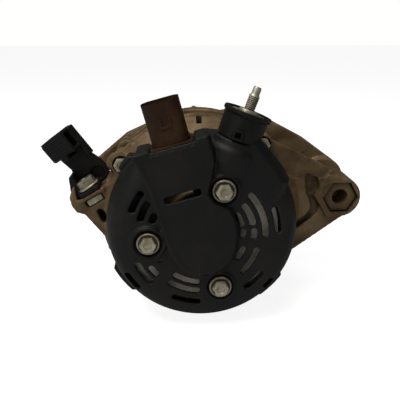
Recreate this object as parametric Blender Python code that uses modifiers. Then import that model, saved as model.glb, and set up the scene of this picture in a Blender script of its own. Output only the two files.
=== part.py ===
"""Car alternator with its rear cover towards -Y and its belt pulley towards +Y.

Blender works in metres. The sizes below are in millimetres and MM turns them into metres.
The shaft lies on the Y axis, +X is right and +Z is up as the rear cover is looked at.
The origin is on the shaft's axis, in the flat middle face of the rear cover.
"""

import math

import bmesh
import bpy
from mathutils import Matrix, Vector

MM = 0.001
GAP = 0.3  # left between pieces that touch on the real unit

# Stations along the shaft, from the rear face forward
COVER_RIM_Y = 31.8
REAR_WALL = (32.3, 36.2)
REAR_BRACKET_FRONT = 58.0
FRONT_BRACKET_REAR = 75.0
FRONT_WALL = (96.8, 101.0)
CORE_Y = (53.0, 80.0)
REAR_POLE_Y = 50.5
FRONT_POLE_Y = 88.0
PULLEY_Y = (109.3, 135.3)
SHAFT_END_Y = 139.0

# Radii about the shaft
COVER_R = 59.5
REAR_R = 64.0
FRONT_R = 63.6
CORE_R = 57.6
AIR_GAP_R = 48.7
SLIP_RING_R = 7.6

# Places across the shaft, as (x, z)
COVER_BOLTS = ((11.7, 28.3), (-32.7, -3.4), (10.3, -32.8))
LUG = (92.5, 10.8)
LUG_BORE_R = 5.2
SIDE_LUG = (-77.0, 9.0)
THROUGH_BOLT_R = 61.3
THROUGH_BOLT_ANGLES = (51, 144, 231, 324)

# Leaning groups: each has a lean from +Z towards +X, and a station along the shaft
CONNECTOR_LEAN = -15.0
CONNECTOR_Y = 10.5
TERMINAL_LEAN = 20.0
TERMINAL_Y = 16.0
SEAT_TURN = 30.0  # the side ear's slanted face and the clip bolted to it
SEAT = (-70.0, 43.5, 17.0)
SLEEVE_SLOPE = 36.0
SLEEVE = (-87.4, 45.0, 46.4)


# ---------------------------------------------------------------- helpers

for old in list(bpy.data.objects):
    bpy.data.objects.remove(old, do_unlink=True)

alternator = bpy.data.collections.new("car_alternator")
cutters = bpy.data.collections.new("cutters")
cutters.hide_render = True
for made in (alternator, cutters):
    bpy.context.scene.collection.children.link(made)

FINISHES = {
    "cover_plastic": ((0.016, 0.016, 0.017), 0.5, 0.0),
    "connector_plastic": ((0.06, 0.033, 0.02), 0.5, 0.0),
    "black_plastic": ((0.012, 0.012, 0.012), 0.55, 0.0),
    "cast_aluminium": ((0.42, 0.36, 0.28), 0.55, 0.8),
    "zinc_steel": ((0.55, 0.52, 0.42), 0.35, 1.0),
    "bare_steel": ((0.35, 0.34, 0.33), 0.4, 1.0),
    "lamination_steel": ((0.1, 0.09, 0.08), 0.6, 0.7),
    "enamelled_copper": ((0.5, 0.2, 0.08), 0.35, 0.6),
    "copper": ((0.72, 0.35, 0.2), 0.35, 1.0),
    "carbon": ((0.03, 0.03, 0.03), 0.8, 0.0),
    "pulley_steel": ((0.05, 0.05, 0.05), 0.45, 0.6),
}


def finish(name):
    """The material of that name, made the first time it is asked for."""
    found = bpy.data.materials.get(name)
    if found:
        return found
    colour, roughness, metallic = FINISHES[name]
    found = bpy.data.materials.new(name)
    found.use_nodes = True
    shader = found.node_tree.nodes["Principled BSDF"]
    shader.inputs["Base Color"].default_value = (*colour, 1.0)
    shader.inputs["Roughness"].default_value = roughness
    shader.inputs["Metallic"].default_value = metallic
    found.diffuse_color = (*colour, 1.0)
    return found


def place(name, mesh, matrix=Matrix(), material=None, owner=None):
    """Adds a mesh as an object: a node if it has a material, and otherwise a helper."""
    obj = bpy.data.objects.new(name, mesh)
    obj.matrix_world = matrix
    if material:
        mesh.materials.append(finish(material))
        alternator.objects.link(obj)
    else:
        obj.hide_render = True
        obj.display_type = "WIRE"
        owner.objects.link(obj)
    return obj


def along(x=0.0, y=0.0, z=0.0, toward=(0, 1, 0), roll=0.0):
    """A matrix that puts local +Z along a direction, at a point in millimetres."""
    turn = Vector((0, 0, 1)).rotation_difference(Vector(toward)).to_matrix().to_4x4()
    return Matrix.Translation(Vector((x, y, z)) * MM) @ turn @ Matrix.Rotation(math.radians(roll), 4, "Z")


def leaning(lean, station):
    """The frame of a leaning group: local X across, Y along the shaft, and Z out from the shaft."""
    return Matrix.Translation((0, station * MM, 0)) @ Matrix.Rotation(math.radians(lean), 4, "Y")


def smooth(mesh):
    mesh.shade_smooth()
    mesh.set_sharp_from_angle(angle=math.radians(35))


def turned(name, profile, steps, matrix=None, closed=True, **kind):
    """A turned shape. The profile's (radius, height) points run down the outer side and back up the inner."""
    mesh = bpy.data.meshes.new(name)
    points = [(radius * MM, 0.0, height * MM) for radius, height in profile]
    edges = [(i, i + 1) for i in range(len(points) - 1)]
    if closed and profile[0][0] > 0:
        edges.append((len(points) - 1, 0))
    mesh.from_pydata(points, edges, [])
    obj = place(name, mesh, along() if matrix is None else matrix, **kind)
    screw = obj.modifiers.new("turn", "SCREW")
    screw.axis = "Z"
    screw.steps = screw.render_steps = steps
    screw.use_merge_vertices = True
    screw.merge_threshold = 0.00001
    return obj


def ring(name, outer, inner, low, high, steps, matrix=None, **kind):
    """A plain turned ring, or a disc where the inner radius is 0."""
    return turned(name, [(outer, high), (outer, low), (inner, low), (inner, high)], steps, matrix, **kind)


def rod(name, radius, low, high, sides, matrix=None, tip=None, turn=0.0, **kind):
    """A round or many-sided bar along local Z, tapered to the tip radius if one is given."""
    shape = bmesh.new()
    bmesh.ops.create_cone(
        shape,
        cap_ends=True,
        segments=sides,
        radius1=radius * MM,
        radius2=(radius if tip is None else tip) * MM,
        depth=(high - low) * MM,
        matrix=Matrix.Translation((0, 0, (low + high) / 2 * MM))
        @ Matrix.Rotation(math.radians(turn), 4, "Z"),
    )
    mesh = bpy.data.meshes.new(name)
    shape.to_mesh(mesh)
    shape.free()
    smooth(mesh)
    return place(name, mesh, along() if matrix is None else matrix, **kind)


def hexagon(name, across_flats, low, high, matrix=None, turn=0.0, **kind):
    return rod(name, across_flats / math.sqrt(3), low, high, 6, matrix, turn=turn, **kind)


def block(name, low, high, matrix=Matrix(), bevel=0.0, **kind):
    """A box between two corners of its own frame, with its edges rounded if asked."""
    shape = bmesh.new()
    size = [(b - a) * MM for a, b in zip(low, high)]
    middle = [(a + b) / 2 * MM for a, b in zip(low, high)]
    bmesh.ops.create_cube(shape, size=1.0, matrix=Matrix.Translation(middle) @ Matrix.Diagonal((*size, 1.0)))
    mesh = bpy.data.meshes.new(name)
    shape.to_mesh(mesh)
    shape.free()
    obj = place(name, mesh, matrix, **kind)
    if bevel:
        edge = obj.modifiers.new("round", "BEVEL")
        edge.width = bevel * MM
        edge.segments = 2
    return obj


def slab(name, loops, near, far, frame=Matrix(), **kind):
    """A flat outline in X and Z, with any holes as further loops, from near to far along Y."""
    curve = bpy.data.curves.new(name, "CURVE")
    curve.dimensions = "2D"
    curve.fill_mode = "BOTH"
    curve.extrude = (far - near) / 2 * MM
    for loop in loops:
        spline = curve.splines.new("POLY")
        spline.points.add(len(loop) - 1)
        for point, (x, z) in zip(spline.points, loop):
            point.co = (x * MM, z * MM, 0, 1)
        spline.use_cyclic_u = True
    guide = bpy.data.objects.new(name + "_outline", curve)
    bpy.context.scene.collection.objects.link(guide)
    mesh = bpy.data.meshes.new_from_object(guide.evaluated_get(bpy.context.evaluated_depsgraph_get()))
    bpy.data.objects.remove(guide, do_unlink=True)
    shape = bmesh.new()
    shape.from_mesh(mesh)
    bmesh.ops.remove_doubles(shape, verts=shape.verts, dist=0.000001)
    bmesh.ops.recalc_face_normals(shape, faces=shape.faces)
    shape.to_mesh(mesh)
    shape.free()
    mesh.name = name
    upright = Matrix.Translation((0, (near + far) / 2 * MM, 0)) @ Matrix.Rotation(math.radians(90), 4, "X")
    return place(name, mesh, frame @ upright, **kind)


def arc(centre, radius, start, end, points):
    """Points along an arc, in degrees from +X towards +Z."""
    spots = [math.radians(start + (end - start) * i / (points - 1)) for i in range(points)]
    return [(centre[0] + radius * math.cos(a), centre[1] + radius * math.sin(a)) for a in spots]


def sector(inner, outer, start, end, points=7):
    """The outline of an arc-shaped slot about the shaft."""
    return arc((0, 0), outer, start, end, points) + arc((0, 0), inner, end, start, points)


def helpers(name):
    """A collection for the shapes that are joined to a piece or cut from it."""
    made = bpy.data.collections.new(name)
    made.hide_render = True
    cutters.children.link(made)
    return made


def combine(obj, operation, shapes):
    step = obj.modifiers.new(shapes.name, "BOOLEAN")
    step.operation = operation
    step.operand_type = "COLLECTION"
    step.collection = shapes
    step.solver = "EXACT"


def across(angle, radius):
    return radius * math.cos(math.radians(angle)), radius * math.sin(math.radians(angle))


# ---------------------------------------------------------------- rear cover and its fixings

COVER_OUTSIDE = (
    (0.0, COVER_RIM_Y),
    (COVER_R, COVER_RIM_Y),
    (58.9, 22.0),
    (56.6, 12.2),
    (53.0, 6.6),
    (47.0, 3.7),
    (24.5, 2.8),
    (21.6, 0.0),
    (0.0, 0.0),
)
COVER_INSIDE = (
    (0.0, COVER_RIM_Y + 1.0),
    (57.1, COVER_RIM_Y + 1.0),
    (56.4, 22.4),
    (54.2, 13.4),
    (51.0, 8.4),
    (46.4, 6.2),
    (23.6, 5.3),
    (20.6, 2.5),
    (0.0, 2.5),
)
# Arc slots in the cover's face: middle radius, start angle, end angle
COVER_SLOTS = (
    (23.6, -3, 37),
    (30.2, -5, 41),
    (37.0, -2, 45),
    (44.6, 1, 23),
    (25.2, -38, -16),
    (33.6, -47, -14),
    (43.2, -54, -34),
    (52.3, -44, -35),
    (30.4, -127, -94),
    (36.2, -126, -93),
    (44.0, -116, -92),
    (37.2, -150, -137),
    (43.2, -158, -136),
    (52.4, -153, -138),
    (30.0, -151, -148),
    (29.6, -140, -137),
    (31.6, 154, 162),
    (38.4, 145, 165),
    (44.8, 141, 160),
)
SLOT_WIDTH = 3.2


def rear_cover():
    """A moulded plastic shell, raised over the regulator and drawn up into a neck round the output stud."""
    joined = helpers("cover_joined")
    hollow = helpers("cover_hollow")
    seats = helpers("cover_seats")
    openings = helpers("cover_openings")
    regulator = leaning(CONNECTOR_LEAN, 0)
    terminal = leaning(TERMINAL_LEAN, TERMINAL_Y)
    cover = turned("rear_cover", COVER_OUTSIDE, 40, material="cover_plastic")

    house = [(-24.5, 58.0), (-22.4, 47.0), (-18.6, 35.0), (-17.0, 20.0), (14.0, 20.0)]
    house += [(12.0, 34.0), (17.4, 50.0), (15.4, 59.5)]
    slab("house", [house], 0.0, 25.0, regulator, owner=joined)
    rod("neck", 15.4, 34.0, 59.6, 28, terminal, tip=13.8, owner=joined)
    for angles in ((207, 226), (306, 325)):
        slab("clip_tab", [sector(56.5, 65.2, *angles, 4)], 19.0, COVER_RIM_Y - 0.7, owner=joined)

    turned("dome_inside", COVER_INSIDE, 40, owner=hollow)
    room = [(-22.4, 61.0), (-20.3, 46.0), (-16.6, 34.0), (-16.0, 33.0), (7.0, 33.0), (10.4, 35.0)]
    room += [(15.2, 50.0), (13.4, 61.0)]
    slab("house_inside", [room], 2.4, 33.0, regulator, owner=hollow)
    rod("neck_inside", 13.2, 36.0, 62.0, 28, terminal, tip=11.4, owner=hollow)
    slab("top_notch", [[(-27.0, 34.0), (-27.0, 75.0), (24.0, 75.0), (20.5, 34.0)]], 25.3, 33.0,
         regulator, owner=hollow)

    for x, z in COVER_BOLTS:
        rod("seat", 9.2, 2.0, 7.4, 24, along(x, 0, z), owner=seats)
        rod("seat_recess", 7.9, -3.0, 5.2, 24, along(x, 0, z), owner=openings)
        rod("seat_hole", 2.8, 0.0, 9.0, 12, along(x, 0, z), owner=openings)
    for radius, start, end in COVER_SLOTS:
        half = SLOT_WIDTH / 2
        loop = sector(radius - half, radius + half, start, end, max(2, (end - start) // 9))
        slab("vent", [loop], -2.0, 14.0, owner=openings)
    block("window", (-15.3, -1.0, 26.6), (6.0, 9.0, 30.8), regulator, owner=openings)
    block("flange_notch", (-16.3, -1.0, 56.8), (10.7, 26.0, 64.0), regulator, owner=openings)
    block("behind_rim", (-75.0, COVER_RIM_Y - 0.05, -75.0), (75.0, 50.0, 75.0), owner=openings)

    combine(cover, "UNION", joined)
    combine(cover, "DIFFERENCE", hollow)
    combine(cover, "UNION", seats)
    combine(cover, "DIFFERENCE", openings)
    return cover


def flange_bolt(name, matrix, hex_width, head, flange, shank_r, shank_end):
    """A bolt along local Z: hex head from head[0] to head[1], flange below it, shank to shank_end."""
    bolt = hexagon(name, hex_width, head[0], head[1] + 0.2, matrix, material="zinc_steel")
    joined = helpers(name + "_joined")
    ring(name + "_flange", flange[0], 0.0, head[1], head[1] + flange[1], 20, matrix, owner=joined)
    rod(name + "_shank", shank_r, head[1] + 0.1, shank_end, 8, matrix, owner=joined)
    combine(bolt, "UNION", joined)
    return bolt


def cover_bolts():
    for index, (x, z) in enumerate(COVER_BOLTS, 1):
        flange_bolt(f"cover_bolt_{index}", along(x, 0, z), 8.4, (-0.6, 3.5), (6.9, 1.4), 2.2, 22.0)


# ---------------------------------------------------------------- regulator, connector and output terminal

def stadium(width, depth, points=7):
    """A rounded slot outline, wide along X."""
    radius = depth / 2
    reach = width / 2 - radius
    return arc((reach, 0), radius, -90, 90, points) + arc((-reach, 0), radius, 90, 270, points)


def upright(outline, name, low, high, frame, **kind):
    """A slab whose outline lies across local Z, from low to high."""
    stand = Matrix.Rotation(math.radians(90), 4, "X")
    return slab(name, outline, low, high, frame @ stand, **kind)


def connector():
    """The plug socket: an oval shell on a flange, closed below, with four blades inside."""
    frame = leaning(CONNECTOR_LEAN, CONNECTOR_Y) @ Matrix.Translation((-2.8 * MM, 0, 0))
    shell = upright([stadium(21.4, 15.0)], "connector_shell", 56.9, 84.2, frame, material="connector_plastic")
    joined = helpers("connector_joined")
    block("connector_flange", (-13.0, -10.2, 57.2), (13.0, 9.6, 59.4), frame, owner=joined)
    cut = helpers("connector_cut")
    upright([stadium(18.2, 11.8)], "connector_mouth", 66.0, 85.0, frame, owner=cut)
    for index in range(4):
        x = -6.0 + 4.0 * index
        block("blade_slot", (x - 0.7, -1.7, 50.0), (x + 0.7, 1.7, 70.0), frame, owner=cut)
        blade = block(f"connector_blade_{index + 1}", (x - 0.4, -1.4, 57.3), (x + 0.4, 1.4, 78.0), frame,
                      material="copper")
        blade.data.name = "connector_blade"
    combine(shell, "UNION", joined)
    combine(shell, "DIFFERENCE", cut)


def regulator_body():
    frame = leaning(CONNECTOR_LEAN, 0)
    block("regulator_body", (-17.4, 3.4, 41.0), (11.4, 24.0, 56.5), frame, bevel=1.0,
          material="black_plastic")


def output_terminal():
    """The charging stud: an insulator cup on the cover's neck, a washer plate, and a pilot-tipped stud."""
    frame = leaning(TERMINAL_LEAN, TERMINAL_Y)
    cup = [(14.1, 76.2), (14.1, 74.2), (12.7, 73.6), (12.7, 60.0), (10.9, 60.0), (10.9, 52.0)]
    cup += [(3.6, 52.0), (3.6, 69.5), (11.6, 69.5), (11.6, 76.2)]
    insulator = turned("terminal_insulator", cup, 24, frame, material="black_plastic")
    window = helpers("terminal_window")
    block("window", (-2.4, -14.0, 61.6), (2.4, -10.6, 65.4), frame, owner=window)
    combine(insulator, "DIFFERENCE", window)
    ring("terminal_washer", 10.9, 3.6, 69.8, 73.4, 24, frame, material="zinc_steel")
    stud = [(0, 90.6), (1.7, 90.6), (2.1, 89.8), (2.1, 86.4), (3.0, 85.2), (3.0, 77.2), (5.6, 77.2)]
    stud += [(5.6, 73.7), (3.2, 73.7), (3.2, 47.0), (0, 47.0)]
    turned("terminal_stud", stud, 14, frame, material="zinc_steel")


# ---------------------------------------------------------------- rectifier

SINK_ANGLES = (-158, 46)
POSITIVE_SINK_Y = (12.6, 15.6)
NEGATIVE_SINK_Y = (25.0, 28.0)
DIODE_ANGLES = (-140, -110, -50, -25, 5, 30)


def rectifier():
    """Two crescent heat sinks one behind the other, with six press-fit diodes between them."""
    clear = helpers("sink_clearance")
    rod("post_clearance", 6.0, 5.0, 32.0, 20, along(COVER_BOLTS[2][0], 0, COVER_BOLTS[2][1]), owner=clear)
    for name, outer, span in (
        ("positive_heat_sink", 46.0, POSITIVE_SINK_Y),
        ("negative_heat_sink", 54.0, NEGATIVE_SINK_Y),
    ):
        sink = slab(name, [sector(23.2, outer, *SINK_ANGLES, 19)], *span, material="cast_aluminium")
        combine(sink, "DIFFERENCE", clear)
    for index, angle in enumerate(DIODE_ANGLES, 1):
        x, z = across(angle, 38.0)
        rod(f"diode_{index}", 5.4, POSITIVE_SINK_Y[1] + GAP, NEGATIVE_SINK_Y[0] - GAP, 16, along(x, 0, z),
            material="bare_steel")


# ---------------------------------------------------------------- brushes

BRUSH_STATIONS = (12.0, 19.0)
BRUSH_SIZE = (5.4, 4.4)
BRUSH_Z = (SLIP_RING_R + GAP, 21.5)
POCKET_TOP = 36.0


def coil(name, radius, wire, low, high, turns, station):
    """A compression spring along Z with its ends closed flat."""
    curve = bpy.data.curves.new(name, "CURVE")
    curve.dimensions = "3D"
    curve.bevel_depth = wire * MM
    curve.bevel_resolution = 1
    curve.use_fill_caps = True
    count = turns * 6 + 1
    spline = curve.splines.new("POLY")
    spline.points.add(count - 1)
    for index, point in enumerate(spline.points):
        angle = math.tau * index / 6
        height = low + wire + (high - low - 2 * wire) * index / (count - 1)
        x, y = radius * math.cos(angle), station + radius * math.sin(angle)
        point.co = (x * MM, y * MM, height * MM, 1)
    obj = bpy.data.objects.new(name, curve)
    curve.materials.append(finish("bare_steel"))
    alternator.objects.link(obj)
    return obj


def brushes():
    """Two carbon brushes, each sliding up and down its own pocket under a spring."""
    holder = block("brush_holder", (-5.4, 7.9, 9.2), (5.4, 23.2, 38.0), material="black_plastic")
    pockets = helpers("brush_pockets")
    half_x, half_y = BRUSH_SIZE[0] / 2, BRUSH_SIZE[1] / 2
    for index, station in enumerate(BRUSH_STATIONS, 1):
        block("pocket", (-half_x - GAP, station - half_y - GAP, 8.0),
              (half_x + GAP, station + half_y + GAP, POCKET_TOP), owner=pockets)
        block(f"brush_{index}", (-half_x, station - half_y, BRUSH_Z[0]),
              (half_x, station + half_y, BRUSH_Z[1]), material="carbon")
        coil(f"brush_spring_{index}", 1.6, 0.3, BRUSH_Z[1] + GAP, POCKET_TOP - GAP, 4, station)
    combine(holder, "DIFFERENCE", pockets)


# ---------------------------------------------------------------- brackets

ARM_REAR_Y = 41.0
LUG_FACE_Y = 39.6
LUG_END_Y = 66.0
ARM_FRONT_Y = 51.0
HEX_POCKET = 20.6
# End vents as start and end angles, leaving a rib under each cover-bolt post
REAR_VENTS = ((77, 106), (112, 141), (147, 176), (196, 234), (241, 278), (297, 332), (339, 374), (381, 418))
SIDE_VENTS = (12, 64, 82, 102, 122, 190, 250, 270, 290, 345)


def tangent_arm(radius, start, end, points=9):
    """The rounded end of the mounting arm about the lug's centre."""
    return arc(LUG, radius, start, end, points)


def rear_bracket():
    """The die-cast slip-ring-end bracket: bearing hub, vented wall, mounting arm and side ear."""
    shell = [(REAR_R, REAR_BRACKET_FRONT), (REAR_R, 42.0), (62.0, 37.4), (58.5, 34.4), (56.0, REAR_WALL[0])]
    shell += [(21.6, REAR_WALL[0]), (20.6, 29.4), (14.2, 29.4), (14.2, 30.3), (17.8, 30.3), (17.8, 42.4)]
    shell += [(21.2, 42.4), (21.8, REAR_WALL[1]), (54.0, REAR_WALL[1]), (55.4, 38.6), (55.4, CORE_Y[0] - GAP)]
    shell += [(CORE_R + GAP, CORE_Y[0] - GAP), (CORE_R + GAP, REAR_BRACKET_FRONT)]
    bracket = turned("rear_bracket", shell, 36, material="cast_aluminium")
    joined, cut = helpers("rear_joined"), helpers("rear_cut")

    arm = [(20.0, 61.6), *tangent_arm(13.4, 62.6, -53.2), (46.0, -40.3), (40.0, -46.0)]
    arm += [(42.0, 30.0), (20.0, 56.6)]
    slab("arm", [arm], ARM_REAR_Y, ARM_FRONT_Y, owner=joined)
    rod("lug", 13.4, ARM_REAR_Y, LUG_END_Y, 28, along(LUG[0], 0, LUG[1]), owner=joined)
    hex_boss = [(76.1, 10.8), (84.3, 25.0), *tangent_arm(13.3, 75, -75, 7), (84.3, -3.4)]
    slab("hex_boss", [hex_boss], LUG_FACE_Y, ARM_REAR_Y + 1.0, owner=joined)
    ear = [(-52.0, 42.0), (-56.4, 40.6), (-59.2, 37.6), (-58.8, 34.4), (-55.4, 33.4), (-54.6, 29.6)]
    ear += [(-55.6, 25.2), (-60.2, 22.6), (-78.8, 11.9), (-79.6, 21.6), (-81.4, 20.8), (-83.6, 14.0)]
    ear += [(-82.4, 8.4), (-79.6, 4.2), (-74.6, 2.8), (-57.0, -20.0), (-50.0, -30.0), (-48.0, 0.0)]
    slab("ear", [ear], 37.5, 49.5, owner=joined)
    for angle in THROUGH_BOLT_ANGLES:
        x, z = across(angle, THROUGH_BOLT_R)
        rod("bolt_boss", 6.4, 37.5, REAR_BRACKET_FRONT, 14, along(x, 0, z), owner=joined)
        rod("bolt_hole", 3.2, 30.0, REAR_BRACKET_FRONT + 1, 8, along(x, 0, z), owner=cut)
        rod("bolt_seat", 5.4, 30.0, 38.5, 12, along(x, 0, z), owner=cut)
    for x, z in COVER_BOLTS:
        rod("post", 4.5, 8.0, 34.0, 12, along(x, 0, z), owner=joined)
        rod("post_hole", 2.6, 7.0, 26.0, 8, along(x, 0, z), owner=cut)

    for start, end in REAR_VENTS:
        slab("end_vent", [sector(28.0, 52.0, start, end, 4)], 31.0, 37.5, owner=cut)
    ring("inside", 55.4, 22.4, 38.6, CORE_Y[0], 36, owner=cut)
    rod("core_seat", CORE_R + GAP, CORE_Y[0] - GAP, 62.0, 36, owner=cut)
    for middle in SIDE_VENTS:
        turn = Matrix.Rotation(math.radians(90 - middle), 4, "Y")
        block("side_vent", (-4.5, 43.5, 53.0), (4.5, 51.5, 70.0), turn, owner=cut)

    hexagon("hex_pocket", HEX_POCKET, ARM_REAR_Y - 3, 57.0, along(LUG[0], 0, LUG[1]), turn=90, owner=cut)
    rod("lug_bore", LUG_BORE_R, ARM_REAR_Y - 3, LUG_END_Y + 2, 24, along(LUG[0], 0, LUG[1]), owner=cut)
    trench = [(70.0, 26.5), (77.5, 23.5), (79.0, 17.0), (75.4, 11.0), (79.6, 5.0), (78.6, -0.6)]
    trench += [(74.0, -5.4), (64.6, -12.0), (64.6, -6.8), (71.4, -1.6), (74.0, 3.0), (73.0, 8.0)]
    trench += [(70.2, 13.5), (69.0, 20.0)]
    slab("arm_trench", [trench], ARM_REAR_Y - 3, 47.0, owner=cut)
    window = [(-67.1, 6.1), (-63.8, 6.7), (-60.8, 3.2), (-61.3, -4.5), (-64.2, -2.0)]
    slab("ear_window", [window], 36.0, 47.0, owner=cut)
    seat = seat_frame()
    block("nut_pocket", (-6.0, -20.0, -7.6), (6.0, 4.6, -2.6), seat, owner=cut)
    rod("clip_bolt_hole", 3.3, -12.0, 5.0, 16, seat, owner=cut)
    combine(bracket, "UNION", joined)
    combine(bracket, "DIFFERENCE", cut)
    return bracket


def seat_frame():
    """The side ear's bolting face: local X along the face, Y along the shaft, Z out of the face."""
    return Matrix.Translation(Vector(SEAT) * MM) @ Matrix.Rotation(math.radians(-SEAT_TURN), 4, "Y")


def front_bracket():
    """The die-cast drive-end bracket, with the second mounting lug and a hollow strut on the left."""
    shell = [(28.0, 108.4), (29.4, 107.0), (30.2, FRONT_WALL[1]), (54.0, FRONT_WALL[1])]
    shell += [(58.0, 99.6), (62.0, 95.0), (FRONT_R, 90.0), (FRONT_R, FRONT_BRACKET_REAR)]
    shell += [(CORE_R + GAP, FRONT_BRACKET_REAR)]
    shell += [(CORE_R + GAP, CORE_Y[1] + GAP), (55.4, CORE_Y[1] + GAP), (55.4, 93.0), (52.0, FRONT_WALL[0])]
    shell += [(30.4, FRONT_WALL[0]), (29.6, 92.6), (23.8, 92.6), (23.8, 107.0), (17.5, 107.0)]
    shell += [(17.5, 108.4)]
    bracket = turned("front_bracket", shell, 36, material="cast_aluminium")
    joined, cut = helpers("front_joined"), helpers("front_cut")

    arm = [(20.0, 61.5), (40.0, 58.8), (55.0, 52.5), (78.3, 40.2), *tangent_arm(15.6, 58.0, -53.2)]
    arm += [(46.0, -42.0), (38.0, -46.0), (42.0, 30.0), (20.0, 56.0)]
    slab("arm", [arm], 88.0, 98.0, owner=joined)
    rod("lug", 15.6, 84.0, 102.0, 28, along(LUG[0], 0, LUG[1]), owner=joined)
    strut = [(-34.0, 52.6), (-50.4, 45.2), (-54.0, 42.2), *arc(SIDE_LUG, 11.0, 137, 236, 7)]
    strut += [(-56.0, -16.0), (-46.0, -20.0), (-44.0, 30.0)]
    slab("strut", [strut], 86.0, 96.0, owner=joined)
    for angle in THROUGH_BOLT_ANGLES:
        x, z = across(angle, THROUGH_BOLT_R)
        rod("bolt_boss", 6.4, FRONT_BRACKET_REAR, 93.0, 14, along(x, 0, z), owner=joined)
        rod("bolt_hole", 3.2, 70.0, 91.0, 8, along(x, 0, z), owner=cut)
    for index in range(8):
        middle = 45 * index
        slab("end_vent", [sector(33.0, 50.5, middle - 15, middle + 15, 4)], 90.0, 102.0, owner=cut)
    ring("inside", 55.4, 31.0, CORE_Y[1], 93.0, 36, owner=cut)
    ring("inside_end", 51.8, 31.0, 92.0, FRONT_WALL[0] - 0.2, 36, owner=cut)
    rod("core_seat", CORE_R + GAP, 72.0, CORE_Y[1] + GAP, 36, owner=cut)
    for middle in SIDE_VENTS:
        turn = Matrix.Rotation(math.radians(90 - middle), 4, "Y")
        block("side_vent", (-4.5, 82.0, 53.0), (4.5, 88.0, 70.0), turn, owner=cut)
    rod("lug_bore", LUG_BORE_R, 80.0, 105.0, 24, along(LUG[0], 0, LUG[1]), owner=cut)
    rod("side_bore", 4.3, 80.0, 105.0, 20, along(SIDE_LUG[0], 0, SIDE_LUG[1]), owner=cut)
    window = [(-64.6, 18.6), (-60.4, 19.6), (-60.4, 11.8), (-64.4, 11.0)]
    slab("strut_window", [window], 84.0, 98.0, owner=cut)
    combine(bracket, "UNION", joined)
    combine(bracket, "DIFFERENCE", cut)
    return bracket


def bracket_fixings():
    """Four through bolts, the hex sleeve in the rear lug, and the bearing's retaining plate and screws."""
    for index, angle in enumerate(THROUGH_BOLT_ANGLES, 1):
        x, z = across(angle, THROUGH_BOLT_R)
        bolt = hexagon(f"through_bolt_{index}", 8.0, 33.6, 38.2, along(x, 0, z), material="zinc_steel")
        joined = helpers(f"through_bolt_{index}_joined")
        rod("shank", 2.6, 38.0, 90.0, 8, along(x, 0, z), owner=joined)
        combine(bolt, "UNION", joined)
    sleeve = hexagon("lug_sleeve", HEX_POCKET - 0.8, ARM_REAR_Y + 0.6, 56.0, along(LUG[0], 0, LUG[1]),
                     turn=90, material="cast_aluminium")
    bore = helpers("sleeve_bore")
    rod("bore", LUG_BORE_R, 30.0, 70.0, 24, along(LUG[0], 0, LUG[1]), owner=bore)
    combine(sleeve, "DIFFERENCE", bore)

    plate = ring("bearing_retainer", 27.5, 11.0, 90.8, 92.3, 24, material="zinc_steel")
    holes, threads = helpers("retainer_holes"), helpers("retainer_threads")
    for index, angle in enumerate((45, 225), 1):
        x, z = across(angle, 25.4)
        rod("hole", 1.9, 80.0, 100.0, 12, along(x, 0, z), owner=holes)
        rod("thread", 1.9, 90.0, 101.5, 12, along(x, 0, z), owner=threads)
        rod(f"retainer_screw_{index}", 1.6, 89.8, 99.0, 12, along(x, 0, z), material="zinc_steel")
    combine(plate, "DIFFERENCE", holes)
    combine(bpy.data.objects["front_bracket"], "DIFFERENCE", threads)


# ---------------------------------------------------------------- bearings

def bearing(name, outer, bore, low, high, ball_r, balls):
    """A ball bearing as three pieces: outer ring, inner ring, and the cage with its balls."""
    pitch = (outer + bore) / 2
    middle = (low + high) / 2
    outer_in, inner_out = pitch + ball_r * 0.62, pitch - ball_r * 0.62
    groove = ball_r * 0.88
    depth = ball_r * 0.42
    ring_profile = [(outer, high), (outer, low), (outer_in, low), (outer_in, middle - groove)]
    ring_profile += [(outer_in + depth, middle - groove / 2), (outer_in + depth, middle + groove / 2)]
    ring_profile += [(outer_in, middle + groove), (outer_in, high)]
    turned(f"{name}_bearing_outer", ring_profile, 16, material="bare_steel")
    ring_profile = [(inner_out, high), (inner_out, middle + groove), (inner_out - depth, middle + groove / 2)]
    ring_profile += [(inner_out - depth, middle - groove / 2), (inner_out, middle - groove)]
    ring_profile += [(inner_out, low), (bore, low), (bore, high)]
    turned(f"{name}_bearing_inner", ring_profile, 16, material="bare_steel")
    cage = ring(f"{name}_ball_cage", pitch + ball_r * 0.3, pitch - ball_r * 0.3, middle - ball_r * 0.8,
                middle + ball_r * 0.8, 16, material="bare_steel")
    joined = helpers(f"{name}_balls")
    for index in range(balls):
        x, z = across(360 * index / balls, pitch)
        shape = bmesh.new()
        bmesh.ops.create_uvsphere(shape, u_segments=6, v_segments=3, radius=(ball_r - GAP) * MM)
        mesh = bpy.data.meshes.new("ball")
        shape.to_mesh(mesh)
        shape.free()
        place("ball", mesh, along(x, middle, z), owner=joined)
    combine(cage, "UNION", joined)


# ---------------------------------------------------------------- stator and rotor

TEETH = 24
SLOT_R = 54.6


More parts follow.
